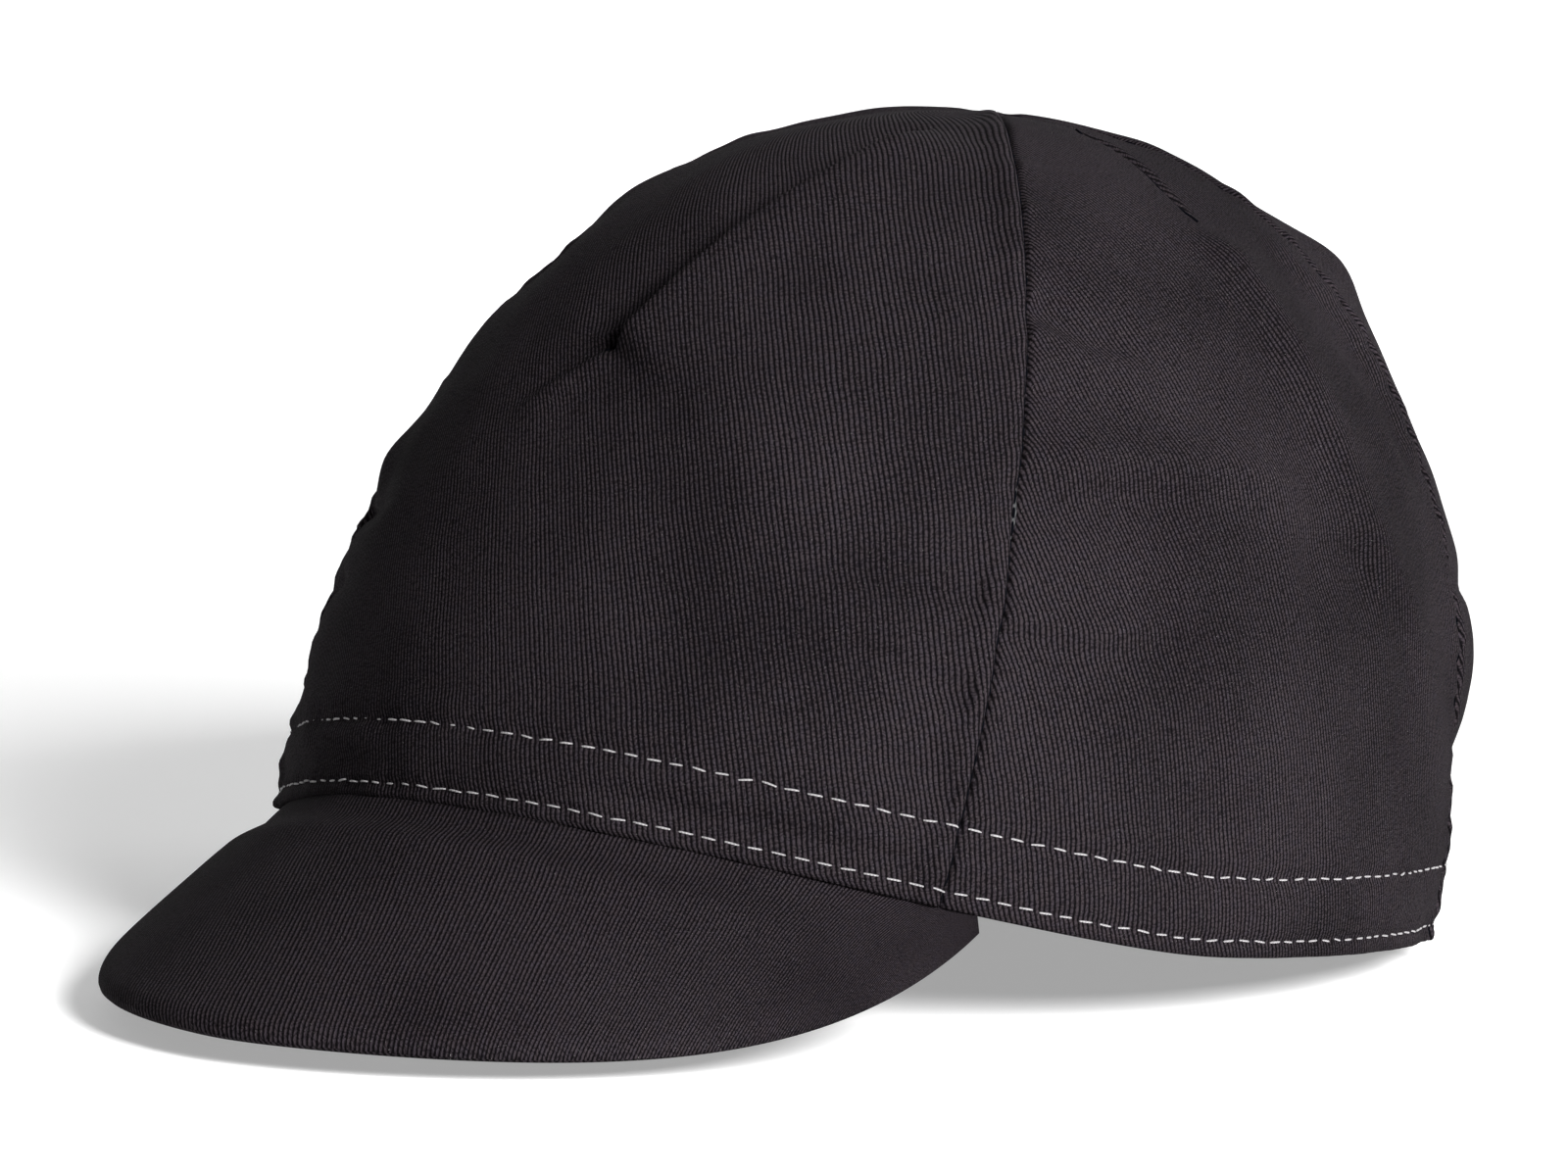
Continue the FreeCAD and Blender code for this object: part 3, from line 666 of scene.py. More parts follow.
LEANS = {"front": -15, "left": -17, "right": -17, "rear": -12, "peak": 22, "under": -14}
TWILLS = {name: twill(f"twill_{name}", lean) for name, lean in LEANS.items()}
NEAR_BLACK = (0.008, 0.008, 0.009)
FACING_CLOTH = plain_weave("facing_cloth", NEAR_BLACK, (0.036, 0.035, 0.038))
TAPE_CLOTH = plain_weave("tape_cloth", NEAR_BLACK, (0.04, 0.04, 0.042), pitch=0.8, rib_gain=2.2)
ELASTIC_CLOTH = plain_weave(
    "elastic_cloth", (0.007, 0.007, 0.008), (0.035, 0.034, 0.036), pitch=1.3, rib_gain=0.5
)
LABEL_CLOTH = plain_weave(
    "label_cloth", (0.42, 0.42, 0.40), (0.78, 0.77, 0.74), pitch=0.45, sheen=0.2, bump=0.00006
)
THREAD_GREY = thread_paint("thread_grey", (0.11, 0.105, 0.11), (0.44, 0.42, 0.43), 0.25, 0.1)
# Near-black without shine: the seams' thread colour, also painted shade in the darts' slits and along the
# seams.
BLACK_THREAD_AND_SHADE = thread_paint("black_thread_and_shade", (0.0006, 0.0007, 0.0010), (0.003, 0.0034, 0.005), 0.0, 0.0)
SHELL_PLASTIC = plastic("shell_plastic", (0.012, 0.012, 0.014), (0.055, 0.055, 0.06))
BOARD_PLASTIC = plastic("board_plastic", (0.5, 0.5, 0.48), (0.8, 0.8, 0.77), grain=500.0, roughness=0.5)
LOOP_PILE = fuzzy("loop_pile", (0.006, 0.006, 0.007), (0.05, 0.05, 0.052))
HOOK_PILE = fuzzy("hook_pile", NEAR_BLACK, (0.06, 0.06, 0.063), scale=0.8)
PAD_MESH = knitted("pad_mesh", (0.012, 0.012, 0.014), (0.12, 0.12, 0.128))

# ---- the crown's panels -----------------------------------------------------------------------------


def spaced(count, fine, first, last=None):
    """Shares from 0 to 1 that lie closer together near the ends."""
    steps = np.ones(count)
    for k in range(fine):
        size = first + (1 - first) * k / fine
        steps[k] = size
        if last is not None:
            steps[-1 - k] = last + (1 - last) * k / fine
    total = np.concatenate([[0], np.cumsum(steps)])
    return total / total[-1]


# The crown's height against the share of the way up a line from its edge to its top.
UP_SHARE = np.concatenate([np.linspace(0, 0.9, 181), 1 - 0.1 * np.linspace(1, 0, 120)[1:] ** 2])
UP_LENGTH = run_length(crown(np.full(UP_SHARE.shape, math.radians(60)), UP_SHARE), 0)
UP_LENGTH /= UP_LENGTH[-1]
COLUMNS = ROWS = 184


def way_up(share):
    """Share of the crown's height at a share of the way up from its edge."""
    return np.interp(share, UP_LENGTH, UP_SHARE)


def fewer(rows, widths, count, least):
    """Rows of numbers with gaps doubled, again and again, where the panel is too narrow for them."""
    kept, stride = [], 1
    for row, width in zip(rows, widths):
        while width / (count / stride) < least and stride < count // 8 and (count // stride) % 2 == 0:
            stride *= 2
        kept.append(list(row)[::stride])
    return kept


def panel(part):
    """One crown panel between two seams: outer face, rolled bottom edge and inner face."""
    start, stop = PANELS[part][:2]
    share = spaced(COLUMNS, 8, 0.28, 0.28)
    rise = np.minimum(way_up(spaced(ROWS, 34, 0.45)), 0.99995)
    columns, level = np.meshgrid(share, rise)
    q = level
    for _ in range(3):
        first, second = seam_angle(start, q), seam_angle(stop, q)
        phi = first + (second - first) * columns
        low = edge_share(phi)
        q = low + (1 - low) * level
    base = crown(phi, q)
    n = normals(phi, q)
    u = run_length(base, 1)
    width = u[:, -1:]
    v = run_length(base, 0) + (low * HEIGHT)
    h = (q - low) * HEIGHT
    detail = creases(phi, q, base, n) * smooth((h - 3) / 14) * smooth(width / 10)
    detail += band_shape(phi, h)
    detail = np.maximum(detail + panel_relief(part, phi, q), -LOWEST_SEWN)
    centred = u - width / 2 + (FRONT_SWING * v * v if part == "front" else 0)
    weave = np.stack([centred, v], -1)
    build = Build()
    roll = CLOTH / 2
    outer = base + n * detail[..., None]
    lowest = int(np.argmax(h[:, 0] > roll))
    lowest += (ROWS - lowest) % 2
    outer_numbers = build.add(outer[lowest:], weave[lowest:])
    rolled = []
    for angle in np.radians([150, 120, 90, 60, 30]):
        point = crown(phi[0], at_height(phi[0], roll))
        point += n[0] * (-roll + roll * math.cos(angle) + detail[lowest])[:, None]
        point[:, 2] -= roll * math.sin(angle)
        rolled.append(build.add(point, np.stack([centred[0], v[0] - angle * roll], -1)))
    rolled = rolled[::-1]
    inner_rows = list(range(lowest, ROWS + 1, 2))
    inner = base - n * (CLOTH - 0.55 * detail)[..., None]
    inner_numbers = build.add(inner[inner_rows][:, ::2], weave[inner_rows][:, ::2])
    keep = fewer(outer_numbers, width[lowest:, 0], COLUMNS, 0.4)
    inner_keep = fewer(inner_numbers, width[inner_rows, 0], COLUMNS // 2, 0.8)
    build.rows(keep)
    build.rows([keep[0]] + rolled, flip=True)
    build.join(rolled[-1], inner_numbers[0], flip=True)
    build.rows(inner_keep, flip=True)
    for side, flip in ((0, False), (-1, True)):
        inner_side = [row[side] for row in inner_keep]
        build.join([row[side] for row in keep], inner_side, flip)
        round_edge = [row[side] for row in [keep[0]] + rolled]
        for a, b in zip(round_edge[:-1], round_edge[1:]):
            build.faces.append((a, b, inner_side[0]) if flip else (b, a, inner_side[0]))
    if len(keep[-1]) == len(inner_keep[-1]):
        build.join(keep[-1], inner_keep[-1])
    build.make(f"cloth_{part}_panel", TWILLS[part], "cap", (f"crown_{part}_panel",))


for part in PANELS:
    panel(part)

# ---- stitches ---------------------------------------------------------------------------------------


STITCH_RADIUS, SEAM_STITCH = 0.17, 2.7


def even_angles(h, pitch):
    """Angles of evenly spaced places round the band, at a height above its edge."""
    phi = np.linspace(0, 2 * math.pi, 2881)
    length = run_length(crown(phi, at_height(phi, h)), 0)
    count = int(round(length[-1] / pitch))
    return np.interp(np.arange(count + 1) * length[-1] / count, length, phi), count


def stitch_row(build, row, inner):
    """One row of separate stitches, on the band's outer face or on the sweatband inside."""
    marks, count = even_angles(row, STITCH)
    share = np.linspace(0.10, 0.86, 8)
    phi = marks[:-1, None] + np.diff(marks)[:, None] * share[None, :]
    phi = phi + rng.normal(0, 0.0004, (count, 1))
    tilt = rng.normal(0, 0.10, (count, 1)) * np.linspace(-1, 1, 8)[None, :]
    tilt = tilt + rng.normal(0, 0.05, (count, 1))
    q = at_height(phi, row + tilt)
    humps = np.sin(np.linspace(0, math.pi, 8))[None, :] ** 0.6
    rise = -0.22 + (0.34 + rng.normal(0, 0.04, (count, 1))) * humps
    if inner:
        base = crown(phi, q, CLOTH + FACING)
        n = -normals(phi, q, CLOTH + FACING)
        lines = base + n * (rise - 0.15)[..., None]
    else:
        lines, n = cloth_point(phi, q)
        lines = lines + n * rise[..., None]
    tubes(build, lines, n, STITCH_RADIUS)


for node, row in (("topstitch_lower", LOWER_ROW), ("topstitch_upper", UPPER_ROW)):
    rowed = Build()
    stitch_row(rowed, row, inner=False)
    stitch_row(rowed, row, inner=True)
    rowed.make(node.replace("topstitch", "stitches"), THREAD_GREY, "cap", (node,))


def dart_shade_line(name, run, from_share):
    """A dart's dark line: a thin tube of painted shade lying in the dart's slit, thinner towards both ends.
    """
    build = Build()
    share, marks = np.linspace(from_share, 1, 60), np.linspace(0, 1, len(run))
    angle, z = (np.interp(share, marks, values) for values in zip(*run))
    line, n = cloth_point(np.radians(angle), z / HEIGHT, 0.12)
    tubes(build, line[None], n[None], 0.3)
    build.make(name, BLACK_THREAD_AND_SHADE, "cap")


# Painted shade: dark tubes in the slits of the front dart and the two side darts.
dart_shade_line("dart_shade_line_front", FRONT_DART, 0.3)
dart_shade_line("dart_shade_line_left", LEFT_DART, 0.0)
dart_shade_line("dart_shade_line_right", mirrored(LEFT_DART), 0.0)


def seam_thread_and_shade(name, base):
    """Dark thread showing in a panel seam: short stitches sunk between the two edges, thick and close enough
    that they also stand as painted shade along the seam.
    """
    build = Build()
    q = np.linspace(0.0, way_up(0.985), 2400)
    low = edge_share(seam_angle(base, q))
    q = low + (1 - low) * q + 0.004
    line, n = cloth_point(seam_angle(base, q), q, 0.05)
    length = run_length(line, 0)
    lines, ups = [], []
    for k in range(int(length[-1] / SEAM_STITCH)):
        at = (k + np.linspace(0.04, 0.93, 7)) * SEAM_STITCH
        one = np.stack([np.interp(at, length, line[:, i]) for i in range(3)], -1)
        up = np.stack([np.interp(at, length, n[:, i]) for i in range(3)], -1)
        one = one + up * (0.22 * np.sin(np.linspace(0, math.pi, 7)))[:, None] + rng.normal(0, 0.05, 3)
        lines.append(one)
        ups.append(up)
    tubes(build, np.array(lines), np.array(ups), 0.26)
    build.make(name, BLACK_THREAD_AND_SHADE, "cap")


# Each seam's thread is partly real stitching and partly painted shade along the seam.
for label, base in SEAMS.items():
    seam_thread_and_shade(f"seam_stitches_and_shade_{label}", base)

# ---- inside of the cap ------------------------------------------------------------------------------


def band_piece(name, material, node, start, stop, columns, gathered):
    """A stretch of the band inside the cap's edge, swept round as one closed profile."""
    inner, outer, edge = CLOTH + FACING, CLOTH + 0.05, 0.8
    high, low = BAND_TOP - 0.1 - edge, 0.75 + edge
    middle = np.linspace(low, high, 27)
    bends = (0.6, 1.2, 1.57, 2.1, 2.7)
    profile = [(inner, h) for h in middle]
    profile += [(inner - edge + edge * math.cos(a), high + edge * math.sin(a)) for a in bends]
    profile += [(outer, h) for h in middle[::-3]]
    profile += [(inner - edge + edge * math.cos(a), low - edge * math.sin(a)) for a in bends[::-1]]
    inset, h = (np.array(c) for c in zip(*profile))
    phi = np.linspace(math.radians(start), math.radians(stop), columns)
    grid_phi, grid_h = np.meshgrid(phi, h, indexing="ij")
    grid_inset = np.broadcast_to(inset, grid_phi.shape).copy()
    arc = grid_phi * 95
    on_face = np.clip((grid_inset - CLOTH - edge) / edge, 0, 1)
    for row in (LOWER_ROW, UPPER_ROW):
        grid_inset -= 0.35 * on_face * np.exp(-(((grid_h - row) / 0.8) ** 2))
    grid_inset += 0.22 * on_face * np.exp(-(((grid_h - 7.4) / 3.0) ** 2)) * np.sin(arc / 5)
    if gathered:
        ruffle = np.sin(arc * 2 * math.pi / 4.6 + 0.6 * np.sin(arc / 7))
        pulled = 0.4 + 0.6 * smooth((grid_h - 3) / 5)
        grid_inset += on_face * (0.42 * ruffle + 0.2 * np.sin(arc / 1.7)) * pulled
        grid_h = grid_h + 0.5 * ruffle * smooth((grid_h - 12) / 4)
    else:
        grid_h = grid_h + 0.25 * np.sin(arc / 9) * smooth((grid_h - 12) / 4)
        grid_inset += 0.15 * on_face * np.sin(arc / 3.1) * smooth((grid_h - 12) / 4)
    q = at_height(grid_phi, grid_h)
    base = crown(grid_phi, q)
    n = normals(grid_phi, q)
    build = Build()
    numbers = build.add(base - n * grid_inset[..., None], np.stack([arc, run_length(base, 1)], -1))
    build.hoops(numbers, flip=True)
    build.faces += [tuple(numbers[0]), tuple(numbers[-1][::-1])]
    build.make(name, material, "cap", (node,))


ELASTIC_START = 143.0
band_end = ELASTIC_START - 0.2
band_piece("inner_band", FACING_CLOTH, "sweatband", -band_end, band_end, 520, False)
band_piece(
    "back_elastic", ELASTIC_CLOTH, "rear_elastic", ELASTIC_START, 360 - ELASTIC_START, 300, True
)


def seam_tape(label, base):
    """The tape over a seam's inside."""
    rows, cols = 110, 9
    low = at_height(seam_angle(base, np.array([0.1])), BAND_TOP + 0.8)[0]
    q = low + (0.992 - low) * way_up(np.linspace(0, 1, rows))
    phi = seam_angle(base, q)
    step = np.linalg.norm(crown(phi + 0.01, q) - crown(phi - 0.01, q), axis=-1) / 0.02
    half = np.minimum(6, step * 0.6) / 6
    grid = phi[:, None] + np.linspace(-6, 6, cols)[None, :] * (half / np.maximum(step, 2.0))[:, None]
    tall = np.broadcast_to(q[:, None], grid.shape)
    ripple = 0.10 * np.sin(np.arange(rows) * 0.9)[:, None] * np.ones((1, cols))
    build = Build()
    sheet_patch(build, grid, tall, CLOTH + 0.55, CLOTH - 0.1, -np.abs(ripple))
    build.make(f"tape_{label}", TAPE_CLOTH, "cap", (f"seam_tape_{label}",))


for label, base in SEAMS.items():
    seam_tape(label, base)

phi, q = np.meshgrid(np.radians(np.linspace(105.3, 119.0, 40)), np.linspace(4.2, 13.8, 24) / HEIGHT)
tag = Build()
sheet_patch(tag, phi, q, CLOTH + FACING + 0.45, CLOTH + FACING + 0.02, -0.06 * np.sin(phi * 60))
tag.make("blank_label", LABEL_CLOTH, "cap", ("care_label",))

GRIP_LOW, GRIP_HIGH = 88.3, 103.7


def grip_patches(name, material, body, node, face_inset, back_inset, swollen):
    """Four gripping patches, at the front, the sides and the back, with rounded corners and a rough face."""
    build = Build()
    for centre in (0, 90, 180, 270):
        half = 9.6 if centre % 180 else 8.0
        phi, q = np.meshgrid(
            np.radians(np.linspace(centre - half, centre + half, 34)),
            np.linspace(GRIP_LOW, GRIP_HIGH, 26) / HEIGHT,
        )
        rough = rng.normal(0, 0.07, phi.shape) * np.sign(back_inset - face_inset)
        sheet_patch(build, phi, q, face_inset, back_inset, rough, swollen)
    build.make(name, material, body, (node,))


grip_patches("loop_patches", LOOP_PILE, "cap", "loop_tabs", CLOTH + 1.1, CLOTH - 0.1, True)
grip_patches("hook_patches", HOOK_PILE, "insert", "hook_tabs", CLOTH + 1.75, SHELL_FACE + 0.1, False)

# ---- the peak ---------------------------------------------------------------------------------------

PEAK_HALF, PEAK_REACH, PEAK_CORNER = 70.6, 49.3, math.radians(53.1)
PEAK_WIDE, PEAK_DEEP, PEAK_DROOP, PEAK_ROOT = 110.0, 131.0, math.radians(32.4), 12.7
PEAK_FULLNESS = 1.89  # 2 is an ellipse, less is leaner at the corners
PEAK_THICK = 1.9


def peak_point(f, reach):
    """Plan point of the peak: f from -1 to 1 across, reach from 0 at the band to 1 at the rim."""
    turned = f * PEAK_CORNER
    inner = np.stack([(HALF_WIDTH + 0.2) * np.sin(turned), -(HALF_LENGTH + 0.2) * np.cos(turned)], -1)
    middle = -HALF_LENGTH * math.cos(PEAK_CORNER)
    depth = HALF_LENGTH + PEAK_REACH + middle
    turn = f * math.pi / 2
    power = 2 / PEAK_FULLNESS
    outer_x = PEAK_HALF * np.sign(turn) * np.abs(np.sin(turn)) ** power
    outer_y = middle - depth * np.abs(np.cos(turn)) ** power
    return inner + (np.stack([outer_x, outer_y], -1) - inner) * reach[..., None]


def peak_drop(plan):
    """The peak's middle layer over a plan point: a drooping sheet with an elliptic crown to it."""
    x, y = plan[..., 0], plan[..., 1]
    w = -PEAK_DEEP * (1 - np.sqrt(np.clip(1 - (x / PEAK_WIDE) ** 2, 0.02, 1)))
    r = (-HALF_LENGTH - y - w * math.sin(PEAK_DROOP)) / math.cos(PEAK_DROOP)
    z = PEAK_ROOT - r * math.sin(PEAK_DROOP) + w * math.cos(PEAK_DROOP)
    return np.stack([x, y, z], -1)


def peak_normal(plan):
    e = 0.05
    dx = peak_drop(plan + [e, 0]) - peak_drop(plan - [e, 0])
    dy = peak_drop(plan + [0, e]) - peak_drop(plan - [0, e])
    n = np.cross(dx, dy)
    return n / np.linalg.norm(n, axis=-1, keepdims=True)


PEAK_CREASES = [
    # (x, y) from, to, depth, reach
    ((52, -92), (66, -82), -0.8, 2.6),
    ((44, -103), (60, -95), -0.55, 3.0),
    ((57, -90), (68, -84), 0.5, 3.0),
    ((-50, -92), (-66, -80), -0.6, 2.8),
]


def peak_waves(plan):
    """Small waves and creases of the peak's cloth."""
    x, y = plan[..., 0], plan[..., 1]
    rise = 0.22 * np.sin(x / 17 + 0.5) * np.sin(y / 13) + 0.10 * np.sin(x / 6.1 + y / 8)
    for (ax, ay), (bx, by), depth, reach in PEAK_CREASES:
        d = np.array([bx - ax, by - ay], float)
        off = plan - np.array([ax, ay], float)
        t = np.clip((off @ d) / (d @ d), 0, 1)
        gap = np.linalg.norm(off - t[..., None] * d, axis=-1)
        ends = smooth(t / 0.4 + 0.2) * smooth((1 - t) / 0.3 + 0.3)
        rise = rise + depth * np.exp(-((gap / reach) ** 2)) * ends
    return rise


def peak_grid(columns, rows, tuck, margin=0.0, span=0.9965):
    """Plan points of the peak, from a tuck under the band to a margin inside the rim."""
    widest = math.pi / 2 * 0.985
    f = span * np.sin(np.linspace(-1, 1, columns) * widest) / math.sin(widest)
    reach = spaced(rows, 10, 0.9, 0.22)
    grid_f, grid_reach = np.meshgrid(f, reach)
    root, rim = peak_point(grid_f, 0 * grid_f), peak_point(grid_f, 0 * grid_f + 1)
    run = np.linalg.norm(rim - root, axis=-1)
    way = (rim - root) / np.maximum(run, 1e-6)[..., None]
    inward = np.stack([-np.sin(grid_f * PEAK_CORNER), np.cos(grid_f * PEAK_CORNER)], -1)
    root = root + inward * tuck
    return root + (rim - way * margin - root) * grid_reach[..., None]


def rim_distance(plan):
    """Distance in from the rim, measured squarely to it."""
    rim = peak_point(np.linspace(-1, 1, 400), np.ones(400))
    gap = np.full(plan.shape[:-1], 1e9)
    for a, b in zip(rim[:-1], rim[1:]):
        d = b - a
        t = np.clip(((plan - a) @ d) / max(d @ d, 1e-12), 0, 1)
        gap = np.minimum(gap, np.linalg.norm(plan - a - t[..., None] * d, axis=-1))
    return gap


def peak_cover(name, material, node, side):
    """The cloth over or under the peak's board, rounded down to meet the other at the rim."""
    plan = peak_grid(170, 56, tuck=3.0)
    gap = rim_distance(plan)
    middle = peak_drop(plan)
    n = peak_normal(plan)
    rounded = np.sqrt(np.clip(1 - (1 - np.clip(gap / 2.4, 0, 1)) ** 2, 0, 1))
    waves = peak_waves(plan) * smooth(gap / 6) * (1.0 if side > 0 else 0.6)
    beyond_band = (plan[..., 0] / (HALF_WIDTH + 1)) ** 2 + (plan[..., 1] / (HALF_LENGTH + 1)) ** 2
    thick = PEAK_THICK * rounded * (0.12 + 0.88 * smooth((beyond_band - 0.99) / 0.13))
    sag = 0.25 * np.exp(-((gap / 1.5) ** 2))
    face = middle + n * (side * thick + waves - sag)[..., None]
    lining = middle + n * (side * np.maximum(thick - 0.95, 0.03) + waves * 0.8 - sag)[..., None]
    across = run_length(middle, 1)
    weave = np.stack([across - across[:, -1:] / 2, -middle[..., 1] * 1.18], -1)
    build = Build()
    front, back = build.add(face, weave), build.add(lining, weave)
    if side < 0:
        front, back = front[:, ::-1], back[:, ::-1]
    build.closed(front, back)
    bend_with_peak(build.make(name, material, None, (node,)))


def bend_with_peak(piece):
    """Bakes the piece's placing into its mesh points."""
    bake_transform(piece)


def peak_board():
    """The stiff board between the covers."""
    plan = peak_grid(120, 34, tuck=-7.0, margin=3.0, span=0.86)
    middle = peak_drop(plan)
    n = peak_normal(plan)
    build = Build()
    build.closed(build.add(middle + n * 0.8, plan), build.add(middle - n * 0.8, plan))
    bend_with_peak(build.make("board_sheet", BOARD_PLASTIC, None, ("peak_board",)))


peak_cover("peak_cloth_top", TWILLS["peak"], "peak_top_cover", 1)
peak_cover("peak_cloth_bottom", TWILLS["under"], "peak_bottom_cover", -1)
peak_board()

# ---- the insert: shell and pads ---------------------------------------------------------------------

shell = frame["nodes"]["protective_shell"]
shell.data.materials.clear()
shell.data.materials.append(SHELL_PLASTIC)


def pad_patch(part, centre, half, low=26.0, high=52.0):
    """A foam pad: soft, crowned, pressed flat along its edge and in two lines across it."""
    grid_a, grid_b = np.meshgrid(np.linspace(-1, 1, 90), np.linspace(-1, 1, 44))
    corner = 1 - 0.10 * np.clip(np.abs(grid_b) - 0.6, 0, 1) ** 2 / 0.16
    phi = np.radians(centre + half * grid_a * corner)
    tall = (low + high) / 2 + (high - low) / 2 * grid_b * (1 - 0.07 * grid_a**4)
    q = tall / HEIGHT
    base = crown(phi, q, SHELL_BACK, False)
    n = normals(phi, q, SHELL_BACK, False)
    edge = (1 - np.abs(grid_a) ** 10) * (1 - np.abs(grid_b) ** 6)
    swell = np.clip(edge, 0, 1) ** 0.45
    channels = np.ones_like(swell)
    for line in (-0.42, 0.42):
        channels -= 0.42 * np.exp(-(((grid_a - line) / 0.022) ** 2))
    rim = 0.55 + 0.45 * smooth((1 - np.maximum(np.abs(grid_a), np.abs(grid_b) * 0.985)) / 0.05)
    thick = 0.5 + (PAD - 0.6) * swell * channels * rim
    thick += 0.10 * np.sin(phi * 61) * np.sin(tall / 3.1) * swell
    build = Build()
    weave = np.stack([run_length(base, 1), run_length(base, 0)], -1)
    front = build.add(base - n * thick[..., None], weave)
    build.closed(build.add(base + n * 0.05, weave), front)
    piece = build.make(f"foam_pad_{part}", PAD_MESH, "insert", (f"pad_{part}",))


PADS = {"front": (0, 34.2), "left": (90, 22.0), "rear": (180, 32.2), "right": (270, 22.0)}
for part, (centre, half) in PADS.items():
    pad_patch(part, centre, half)


def level_over(x, y, inset):
    """Share of the height at which the inset crown passes over a plan point near its top."""
    low, high = np.full(x.shape, 0.3), np.full(x.shape, 0.99999)
    for _ in range(40):
        middle = (low + high) / 2
        shift = APEX_SHIFT * middle
        phi = np.arctan2(x / (HALF_WIDTH - inset), -(y - shift) / (HALF_LENGTH - inset))
        p = crown(phi, middle, inset, False)
        outside = np.hypot(p[..., 0], p[..., 1] - shift) > np.hypot(x, y - shift)
        low = np.where(outside, middle, low)
        high = np.where(outside, high, middle)
    return low


def crown_pad():
    """The round pad under the shell's top, with a pressed ring."""
    angle = np.linspace(0, 2 * math.pi, 72, endpoint=False)
    r, a = np.meshgrid(np.linspace(0.4, 23.6, 22), angle, indexing="ij")
    x, y = r * np.sin(a), APEX_SHIFT + r * np.cos(a)
    top = (HEIGHT - SHELL_BACK) * level_over(x, y, SHELL_BACK)
    swell = np.clip(1 - (r / 23.8) ** 8, 0, 1) ** 0.45
    swell *= 1 - 0.4 * np.exp(-(((r - 15) / 0.9) ** 2))
    thick = 0.5 + (PAD - 0.6) * swell
    build = Build()
    weave = np.stack([x, y], -1)
    upper = build.add(np.stack([x, y, top + 0.03], -1), weave)
    lower = build.add(np.stack([x, y, top - thick], -1), weave)
    build.hoops(upper)
    build.hoops(lower, flip=True)
    build.hoops([upper[-1], lower[-1]])
    build.faces += [tuple(upper[0]), tuple(lower[0][::-1])]
    piece = build.make("foam_pad_crown", PAD_MESH, "insert", ("pad_crown",))


crown_pad()

# ---- floor, light and camera ------------------------------------------------------------------------

scene = bpy.context.scene
LOOK = math.radians(36.76)  # the camera's bearing, to the wearer's left of the front
FLOOR_FRONT, FLOOR_BACK, SWEEP, WALL, HALF_SPAN = -5.0, 2.5, 1.5, 6.0, 9.0
profile = [(FLOOR_FRONT, 0.0), (FLOOR_BACK, 0.0)]
for turn in np.linspace(0.1, math.pi / 2, 14):
    profile.append((FLOOR_BACK + SWEEP * math.sin(turn), SWEEP - SWEEP * math.cos(turn)))
profile.append((FLOOR_BACK + SWEEP, WALL))
forward = np.array([-math.sin(LOOK), math.cos(LOOK), 0])
right = np.array([math.cos(LOOK), math.sin(LOOK), 0])
swept = Build()
sides = (-HALF_SPAN, HALF_SPAN)
points = [[forward * reach + right * side + (0, 0, z) for side in sides] for reach, z in profile]
numbers = swept.add(np.array(points))
swept.rows(numbers, flip=True)
paper = Paint("studio_paper", roughness=0.9, specular=0.1)
paper.shader.inputs["Emission Color"].default_value = (1, 1, 1, 1)
paper.shader.inputs["Emission Strength"].default_value = 0.36
paper_tone = paper.range(paper.noise(paper.place(), 3.0), 0.3, 0.7)
paper.finish(paper.mix(paper_tone, (0.70, 0.70, 0.70), (0.72, 0.72, 0.72)))
floor = swept.make("studio_floor", paper.material, local=False)

world = bpy.data.worlds.new("studio")
scene.world = world
world.use_nodes = True
world.node_tree.nodes["Background"].inputs["Color"].default_value = (1, 1, 1, 1)
world.node_tree.nodes["Background"].inputs["Strength"].default_value = 0.05


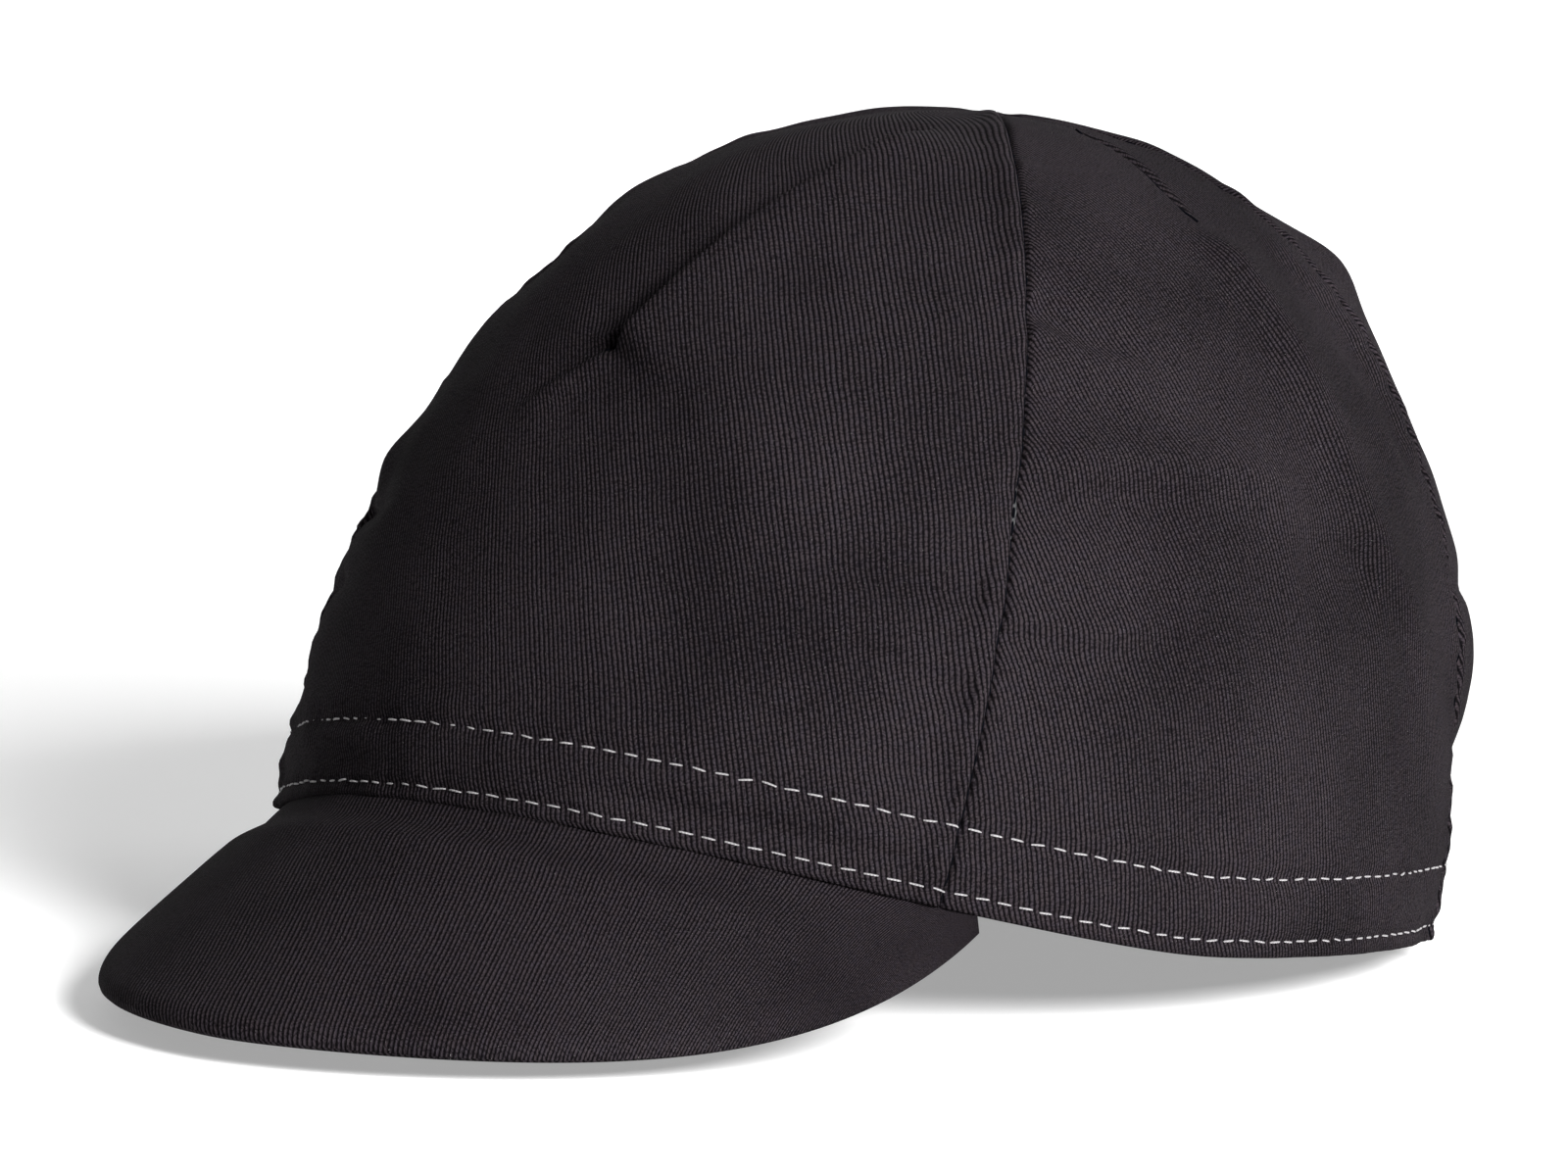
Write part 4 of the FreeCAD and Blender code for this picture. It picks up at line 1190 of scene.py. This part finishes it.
def softbox(name, azimuth, elevation, distance, size, power, aim=(0, 0, 0.06)):
    """A square area light at a bearing round the object, turned to a point."""
    light = bpy.data.lights.new(name, "AREA")
    light.shape = "SQUARE"
    light.size = size
    light.energy = power
    holder = bpy.data.objects.new(name, light)
    a, e = math.radians(azimuth), math.radians(elevation)
    holder.location = (
        distance * math.sin(a) * math.cos(e),
        -distance * math.cos(a) * math.cos(e),
        distance * math.sin(e),
    )
    turn = Vector(aim) - holder.location
    holder.rotation_euler = turn.to_track_quat("-Z", "Y").to_euler()
    scene.collection.objects.link(holder)


softbox("key", 72, 27, 1.9, 0.6, 104)
softbox("low_light", 150, 24, 1.8, 1.0, 14)
# One more lights only the backdrop, from above and behind the object.
softbox("backdrop_light", 215, 66, 1.5, 1.0, 95, aim=(-1.3, 1.7, 1.5))

CAMERA_ELEVATION, CAMERA_ROLL = math.radians(6.29), math.radians(1.67)
CAMERA_DISTANCE, CAMERA_LENS = 1.2545, 177.8
AIM = Vector((0, 0.018933, 0.071473))
OFF_CENTRE = (0.01375, 0.01280)  # how far the aim point lies right of and above the picture's middle
back = Vector((
    math.sin(LOOK) * math.cos(CAMERA_ELEVATION),
    -math.cos(LOOK) * math.cos(CAMERA_ELEVATION),
    math.sin(CAMERA_ELEVATION),
))
level_right = Vector((math.cos(LOOK), math.sin(LOOK), 0))
level_up = back.cross(level_right)
cam_right = level_right * math.cos(CAMERA_ROLL) + level_up * math.sin(CAMERA_ROLL)
cam_up = level_up * math.cos(CAMERA_ROLL) - level_right * math.sin(CAMERA_ROLL)
camera = bpy.data.objects.new("camera", bpy.data.cameras.new("camera"))
camera.data.lens = CAMERA_LENS
camera.data.clip_start, camera.data.clip_end = 0.1, 30
place = AIM + back * CAMERA_DISTANCE
middle = AIM - cam_right * OFF_CENTRE[0] - cam_up * OFF_CENTRE[1]
axis = (place - middle).normalized()
side = (cam_right - axis * cam_right.dot(axis)).normalized()
turned = Matrix((side, axis.cross(side), axis)).transposed()
camera.matrix_world = Matrix.Translation(place) @ turned.to_4x4()
scene.collection.objects.link(camera)
scene.camera = camera
scene.view_settings.view_transform = "Standard"
